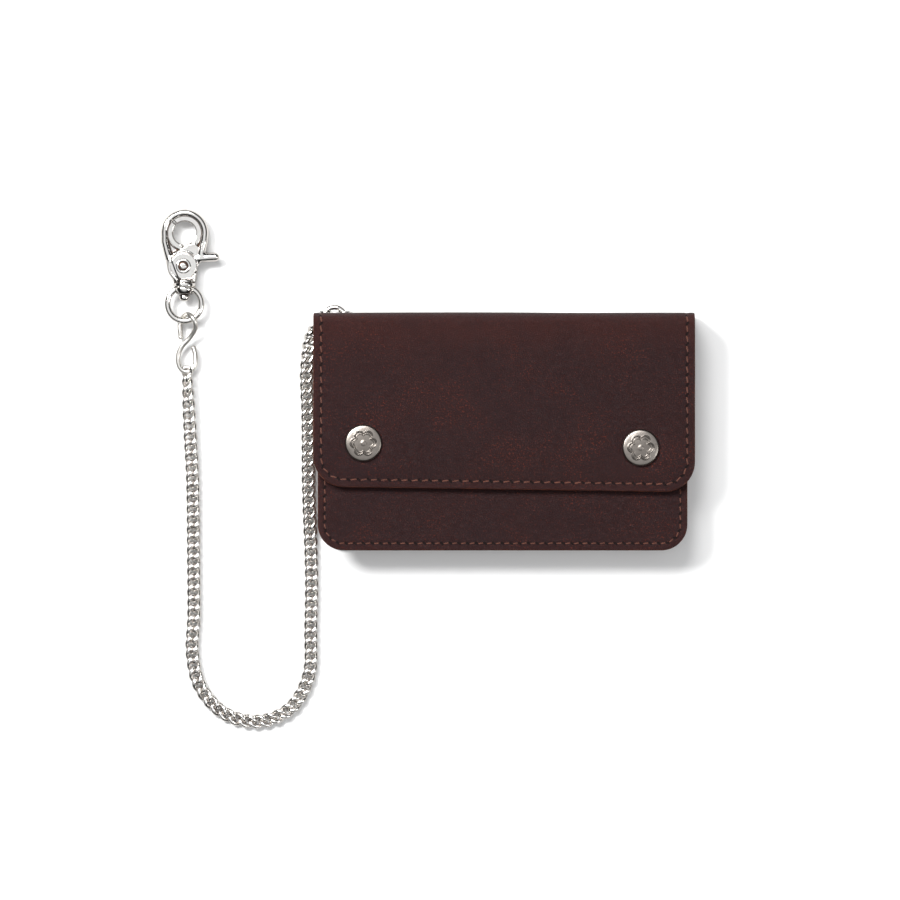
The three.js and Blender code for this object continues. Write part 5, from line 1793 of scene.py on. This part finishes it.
CHAIN_ROUTE = [(-137.9, 24.0, 3.1), (-137.4, 13.7, 3.1), (-136.5, -3.7, 2.8), (-135.6, -21.0, 2.2),
               (-135.2, -55.8, 1.9), (-135.1, -80.5, 1.9), (-135.7, -97.0, 1.9), (-132.1, -111.6, 1.9),
               (-121.4, -123.0, 1.9), (-106.5, -126.3, 1.9), (-93.0, -120.6, 1.9), (-85.0, -106.5, 1.9),
               (-84.1, -85.7, 1.9), (-83.8, -62.0, 1.9), (-85.1, -25.0, 1.9), (-85.4, 8.0, 1.9),
               (-86.0, 23.9, 2.1), (-85.5, 32.5, 3.4), (-84.6, 38.5, 5.8), (-83.0, 43.0, 8.6),
               (-80.6, 45.4, 10.9)]
RING_END = [(-78.2, 46.2, 11.15)]
S_HOOK_LINE = [(-140.6, 40.2, 2.4), (-141.1, 44.4, 2.4), (-140.7, 48.4, 2.4), (-137.9, 51.1, 5.0),
               (-134.9, 49.0, 7.6), (-134.2, 45.2, 6.4), (-136.6, 41.0, 4.6), (-140.4, 36.8, 3.6),
               (-142.0, 31.8, 3.1), (-140.5, 27.2, 3.1), (-137.6, 26.0, 3.1), (-134.9, 28.2, 3.1),
               (-134.3, 33.0, 3.0), (-135.4, 37.4, 2.4)]


@dataclass
class SHook:
    """The S-shaped wire hook between the chain and the swivel ring."""

    wire: float = 1.08 * MM

    def build(self) -> None:
        """Makes the hook with rounded wire ends."""
        line = smooth_line(S_HOOK_LINE, 14)
        along = distances(line)
        to_end = np.minimum(along, along[-1] - along)
        inside = np.clip(self.wire - to_end, 0, self.wire)
        radii = np.sqrt(self.wire ** 2 - inside ** 2) + 0.12 * MM * (to_end < self.wire)
        tail = along[-1] - self.wire
        at = np.concatenate([np.linspace(0, self.wire, 6), np.linspace(self.wire, tail, 150)[1:-1],
                             np.linspace(tail, along[-1], 6)])
        radii = np.interp(at, along, radii)
        radii[0] = radii[-1] = 0.3 * self.wire
        made = Piece("s_hook_wire")
        made.tube(resample(line, at), radii, 16)
        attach(made.make([SATIN_NICKEL], "nickel", ["s_hook"], 60), "wallet_body")


@dataclass
class CurbChain:
    """The curb chain: twisted links, each through the next, laid along its route."""

    pitch: float = 4.5 * MM
    wire: float = 0.94 * MM
    half_length: float = 3.3 * MM
    half_width: float = 2.3 * MM
    twist: float = math.radians(55.0)
    first_roll: float = math.radians(55.0)
    flat_after: float = 27 * MM
    steps: int = 28
    sides: int = 9

    def build(self) -> bpy.types.Object:
        """Makes the links as one piece.

        Returns:
            The chain.
        """
        route = chain_route(0.8 * MM)
        total = distances(route)[-1]
        count = round(total / self.pitch) + 1
        at = np.linspace(0, total, count)
        step = at[1] - at[0]
        centres = resample(route, at)
        before, after = resample(route, at - 0.6 * step), resample(route, at + 0.6 * step)
        made = Piece("curb_chain")
        for index in range(count):
            way = after[index] - before[index]
            way = way / np.linalg.norm(way)
            across = np.cross([0.0, 0.0, 1.0], way)
            across = across / np.linalg.norm(across)
            up = np.cross(way, across)
            line = self.link(centres[index], way, across, up, self.roll(at[index], total, index),
                             step / self.pitch)
            made.tube(line, self.wire, self.sides, closed=True, heart=centres[index])
        chain = made.make([CHAIN_NICKEL], "nickel", ["chain"], 80)
        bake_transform(chain)
        return chain

    def roll(self, at: float, total: float, index: int) -> float:
        """How far a link is turned about the chain, with a little play from link to link.

        Args:
            at: how far along the chain it is.
            total: the chain's length.
            index: its number.

        Returns:
            The turn in radians.
        """
        start = self.first_roll * (1 - float(smoothstep(np.array(at), 0.0, self.flat_after)))
        end = math.radians(48.0) * float(smoothstep(np.array(at), total - 16 * MM, total))
        play = 2.5 * math.sin(index * 1.7) + 1.5 * math.sin(index * 0.61)
        return start + end + math.radians(play)

    def link(self, centre: Array, way: Array, across: Array, up: Array, roll: float,
             stretch: float) -> Array:
        """The centreline of one link.

        Args:
            centre: its middle.
            way: along the chain.
            across: level, across the chain.
            up: across both.
            roll: its turn.
            stretch: how much longer it is drawn.

        Returns:
            The centreline's points.
        """
        turn = np.arange(self.steps) * 2 * math.pi / self.steps
        lean = self.twist * np.cos(turn) + roll
        reach = self.half_width * np.sin(turn)
        along = self.half_length * stretch * np.cos(turn)
        return (centre + along[:, None] * way + (reach * np.cos(lean))[:, None] * across
                + (reach * np.sin(lean))[:, None] * up)


def chain_route(before: float) -> Array:
    """The chain's centreline from its S-hook to its ring, started a little before its first point."""
    route = smooth_line(CHAIN_ROUTE + RING_END)
    return np.vstack([route[0] - tangents(route)[0] * before, route])


# ---------------------------------------------------------------- the coin pocket's zip

@dataclass
class Zip:
    """The coin pocket's zip: two woven tapes, two rows of teeth, stops, slider and pull."""

    pitch: float = 3.0 * MM

    def build(self) -> None:
        """Makes the zip's pieces."""
        for side in ("front", "back"):
            self.tape(side)
            self.teeth(side)
        for side in ("left", "right"):
            self.block(f"zip_stop_{side}", "wallet_body", 0.25)
        self.slider()
        self.pull()

    def tape(self, side: str) -> None:
        """One tape: a thin woven strip with slightly uneven edges.

        Args:
            side: front or back.
        """
        node = f"zip_tape_{side}"
        first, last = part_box(node)
        across, lift = np.linspace(first.z, last.z, 9), 0.12 * MM
        x = np.linspace(first.x, last.x, 160)
        wave = lift * np.sin(x / (5.1 * MM))[:, None] * np.sin(np.linspace(0, math.pi, 9))[None]
        rows = []
        for level, order in ((last.y, across), (first.y, across[::-1])):
            z = np.tile(order, (len(x), 1))
            rows.append(np.stack([np.tile(x[:, None], (1, 9)), level - 0.1 * MM + wave * 0.7, z], axis=2))
        points = np.concatenate(rows, axis=1)
        made = Piece(f"{node}_woven")
        made.grid(points, round_v=True, cap=True)
        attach(made.make([TAPE], "zip_tape", [node]), "wallet_body")

    def teeth(self, side: str) -> None:
        """One row of teeth: each a rounded leg with a domed head that meets the other row's.

        Args:
            side: front or back.
        """
        node = f"zip_teeth_{side}"
        first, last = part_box(node)
        inner = first.z if side == "front" else last.z
        outer = last.z if side == "front" else first.z
        count = round((last.x - first.x - 0.0004) / self.pitch) + 1
        made = Piece(f"{node}_brass")
        reach = inner - outer
        half_tall = (last.y - first.y) / 2
        share = np.array([0, 0.08, 0.3, 0.6, 0.8, 0.93, 1.0])
        wide = np.array([0.55, 0.68, 0.62, 0.48, 0.62, 0.55, 0.3]) * MM
        tall = np.array([0.7, 0.95, 0.98, 0.8, 0.85, 0.75, 0.4]) * half_tall
        turn = np.arange(10) * 2 * math.pi / 10
        box_x = np.sign(np.cos(turn)) * np.abs(np.cos(turn)) ** 0.6
        box_y = np.sign(np.sin(turn)) * np.abs(np.sin(turn)) ** 0.6
        for index in range(count):
            x = first.x + 0.7 * MM + index * self.pitch
            if x > last.x - 0.5 * MM:
                break
            points = np.stack([x + wide[:, None] * box_x, middle(node).y + tall[:, None] * box_y,
                               (outer + reach * share)[:, None] + 0 * box_x], axis=2)
            made.grid(points, round_v=True, cap=True)
        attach(made.make([BRASS], "zip_brass", [node]), "wallet_body")

    def block(self, node: str, body: str, rounding: float) -> None:
        """A crimped metal block with rounded edges.

        Args:
            node: the CAD node.
            body: the body it rides on.
            rounding: the edges' radius.
        """
        first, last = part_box(node)
        low_corner, high_corner = np.array(first) / MM, np.array(last) / MM
        cast = Cast(tuple(low_corner - 0.3), tuple(high_corner + 0.3), 0.12)
        ax, ay, bx, by = low_corner[0], low_corner[1], high_corner[0], high_corner[1]
        flat = cast.polygon([(ax, ay), (bx, ay), (bx, by), (ax, by)])
        cast.plate(flat, low_corner[2], high_corner[2], rounding)
        made = Piece(f"{node}_crimped")
        cast.pour(made)
        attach(made.make([BRASS], "zip_brass", [node]), body)

    def slider(self) -> None:
        """The slider: two wings round the teeth, waisted, with a crown for the pull."""
        first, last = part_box("zip_slider")
        a, b = np.array(first) / MM, np.array(last) / MM
        cast = Cast((a[0] - 0.3, a[2] - 0.3, a[1] - 0.3), (b[0] + 0.3, b[2] + 0.3, b[1] + 0.3), 0.12)
        mid_x, mid_z = (a[0] + b[0]) / 2, (a[2] + b[2]) / 2
        half = (b[2] - a[2]) / 2
        wing = [(a[0], mid_z - half * 0.8), (mid_x - 1, mid_z - half * 0.72), (b[0] - 1.2, mid_z - half),
                (b[0], mid_z - half * 0.9), (b[0], mid_z + half * 0.9), (b[0] - 1.2, mid_z + half),
                (mid_x - 1, mid_z + half * 0.72), (a[0], mid_z + half * 0.8)]
        flat = cast.polygon(wing)
        roof = 27.55
        cast.plate(flat, roof - 0.75, roof, 0.25)
        for side in (-1, 1):
            wall = [(a[0] + 0.3, mid_z + side * half * 0.78), (b[0] - 0.4, mid_z + side * half * 0.98),
                    (b[0] - 0.4, mid_z + side * half * 0.82), (a[0] + 0.3, mid_z + side * half * 0.65)]
            cast.plate(cast.polygon(wall), a[1], roof, 0.15)
            ear = [(mid_x - 1.5, mid_z + side * 1.5), (mid_x + 1.5, mid_z + side * 1.5),
                   (mid_x + 1.5, mid_z + side * 2.2), (mid_x - 1.5, mid_z + side * 2.2)]
            cast.plate(cast.polygon(ear), roof - 0.3, b[1], 0.25)
        made = Piece("zip_slider_cast")
        cast.pour(made, (0, 2, 1))
        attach(made.make([BRASS], "zip_brass", ["zip_slider"]), "zip_slider")

    def pull(self) -> None:
        """The pull: a rounded tab with a hole near its free end, and its pin."""
        first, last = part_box("zip_pull")
        a, b = np.array(first) / MM, np.array(last) / MM
        cast = Cast((a[0] - 0.3, a[2] - 0.3, a[1] - 0.3), (b[0] + 0.3, b[2] + 0.3, b[1] + 0.3), 0.12)
        mid_z = (a[2] + b[2]) / 2
        pivot_y = 29.0
        half = [(b[0] - 0.2, 1.2), (46.0, 1.2), (44.5, 2.0), (38.0, 2.2), (36.6, 1.8), (36.0, 0.9)]
        neck = [(b[0] - 0.2, mid_z - 1.2), *((x, mid_z + up) for x, up in half),
                *((x, mid_z - up) for x, up in reversed(half[1:]))]
        cast.plate(cast.polygon(neck), pivot_y - 0.5, pivot_y + 0.5, 0.25)
        pin = [(49.6, a[2]), (50.4, a[2]), (50.4, b[2]), (49.6, b[2])]
        cast.plate(cast.polygon(pin), pivot_y - 0.4, pivot_y + 0.4, 0.35, 0.1)
        cast.cut(cast.slab(cast.disc(38.8, mid_z, 1.1), pivot_y - 2, pivot_y + 2, 0.1), 0.2)
        made = Piece("zip_pull_cast")
        cast.pour(made, (0, 2, 1))
        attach(made.make([BRASS], "zip_brass", ["zip_pull"]), "zip_pull")


# ---------------------------------------------------------------- studio

@dataclass
class Studio:
    """The pale floor, the soft lights and the camera straight above."""

    lens: float = 200.0
    sensor: float = 36.0
    frame_width: float = 390.6 * MM
    centre_x: float = -23.4 * MM
    centre_y: float = -8.0 * MM
    level: float = 12 * MM
    zenith_glow: float = 0.98
    rim_glow: float = 0.02
    floor_reach: float = 6.0
    paper: RGB = (0.90, 0.90, 0.895)
    paper_in_metal: RGB = (0.50, 0.49, 0.48)
    room_in_metal: RGB = (0.02, 0.02, 0.02)
    paper_edge: tuple[float, float] = (0.16, 0.42)
    far_off: tuple[float, float] = (0.5, 2.2)
    far_lift: float = 0.72
    backdrop: float = 0.95

    def build(self) -> None:
        """Makes the camera, the floor, the world and the lights."""
        self.camera()
        self.floor()
        self.world()
        self.light("key_light", (-0.78, 0.56, 1.00), 0.45, 22.5)
        self.light("top_light", (-0.25, 0.85, 1.20), 0.60, 11.0)
        self.light("fill_light", (1.00, -0.30, 0.85), 0.60, 5.0)
        bpy.context.scene.view_settings.view_transform = "Standard"

    def camera(self) -> None:
        """Places the camera straight above, looking down."""
        lens = bpy.data.cameras.new("camera")
        lens.lens = self.lens
        lens.sensor_width = self.sensor
        lens.clip_end = 20.0
        camera = bpy.data.objects.new("camera", lens)
        distance = self.frame_width * self.lens / self.sensor
        camera.location = (self.centre_x, self.centre_y, self.level + distance)
        bpy.context.scene.collection.objects.link(camera)
        bpy.context.scene.camera = camera

    def floor(self) -> None:
        """Makes the pale floor: dimmer where metal mirrors it, and lit far off, where no light reaches."""
        size = self.floor_reach
        mesh = bpy.data.meshes.new("floor")
        mesh.from_pydata([(-size, -size, 0), (size, -size, 0), (size, size, 0), (-size, size, 0)], [],
                         [(0, 1, 2, 3)])
        surface = bpy.data.materials.new("pale_floor")
        surface.use_nodes = True
        t = Tree(surface.node_tree)
        shader = surface.node_tree.nodes["Principled BSDF"]
        place = t.add("Mapping", {0: t.add("TexCoord").outputs["Object"], 3: (1.0, 1.0, 0.0)}).outputs[0]
        away = t.add("VectorMath", {0: place}, operation="LENGTH").outputs["Value"]
        mirrored = t.add("LightPath").outputs["Is Glossy Ray"]
        in_metal = t.mix(t.ramp(away, *self.paper_edge), rgba(self.paper_in_metal),
                         rgba(self.room_in_metal))
        colour = t.mix(mirrored, rgba(self.paper), in_metal)
        t.tree.links.new(colour, shader.inputs["Base Color"])
        seen = t.add("LightPath").outputs["Is Camera Ray"]
        lift = t.math("MULTIPLY", t.ramp(away, *self.far_off), seen)
        t.tree.links.new(t.math("MULTIPLY", lift, self.far_lift), shader.inputs["Emission Strength"])
        shader.inputs["Emission Color"].default_value = (1.0, 1.0, 1.0, 1.0)
        shader.inputs["Roughness"].default_value = 0.9
        mesh.materials.append(surface)
        floor = bpy.data.objects.new("floor", mesh)
        bpy.context.scene.collection.objects.link(floor)

    def world(self) -> None:
        """Sets a surround that is bright overhead, dark at its rim, and pale behind the wallet."""
        world = bpy.data.worlds.new("surround")
        world.use_nodes = True
        t = Tree(world.node_tree)
        way = t.add("SeparateXYZ", {0: t.add("TexCoord").outputs["Generated"]}).outputs[2]
        glow = t.ramp(way, 0.58, 0.96, self.rim_glow, self.zenith_glow)
        seen = t.add("LightPath").outputs["Is Camera Ray"]
        back = world.node_tree.nodes["Background"]
        back.inputs[0].default_value = (0.97, 0.98, 1.0, 1.0)
        strength = t.add("Mix", {0: seen, 2: glow, 3: self.backdrop}).outputs[0]
        t.tree.links.new(strength, back.inputs[1])
        bpy.context.scene.world = world

    def light(self, name: str, place: tuple[float, float, float], size: float, power: float) -> None:
        """Adds one soft light that faces the wallet.

        Args:
            name: its name.
            place: where it is.
            size: its side.
            power: its watts.
        """
        lamp = bpy.data.lights.new(name, "AREA")
        lamp.shape = "DISK"
        lamp.size = size
        lamp.energy = power
        holder = bpy.data.objects.new(name, lamp)
        holder.location = place
        holder.rotation_euler = Vector(place).to_track_quat("Z", "Y").to_euler()
        holder.visible_camera = False
        bpy.context.scene.collection.objects.link(holder)


def main() -> None:
    """Builds the studio and every sub-assembly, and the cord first."""
    logging.basicConfig(level=logging.INFO, format="%(message)s")
    Studio().build()
    chain = CurbChain().build()
    Fastening().build()
    SHook().build()
    SwivelRing().build()
    SnapClasp().build()
    LeatherCase().build()
    Interior().build()
    for side in ("left", "right"):
        Snap(side).build()
    Zip().build()


if __name__ == "__main__":
    main()
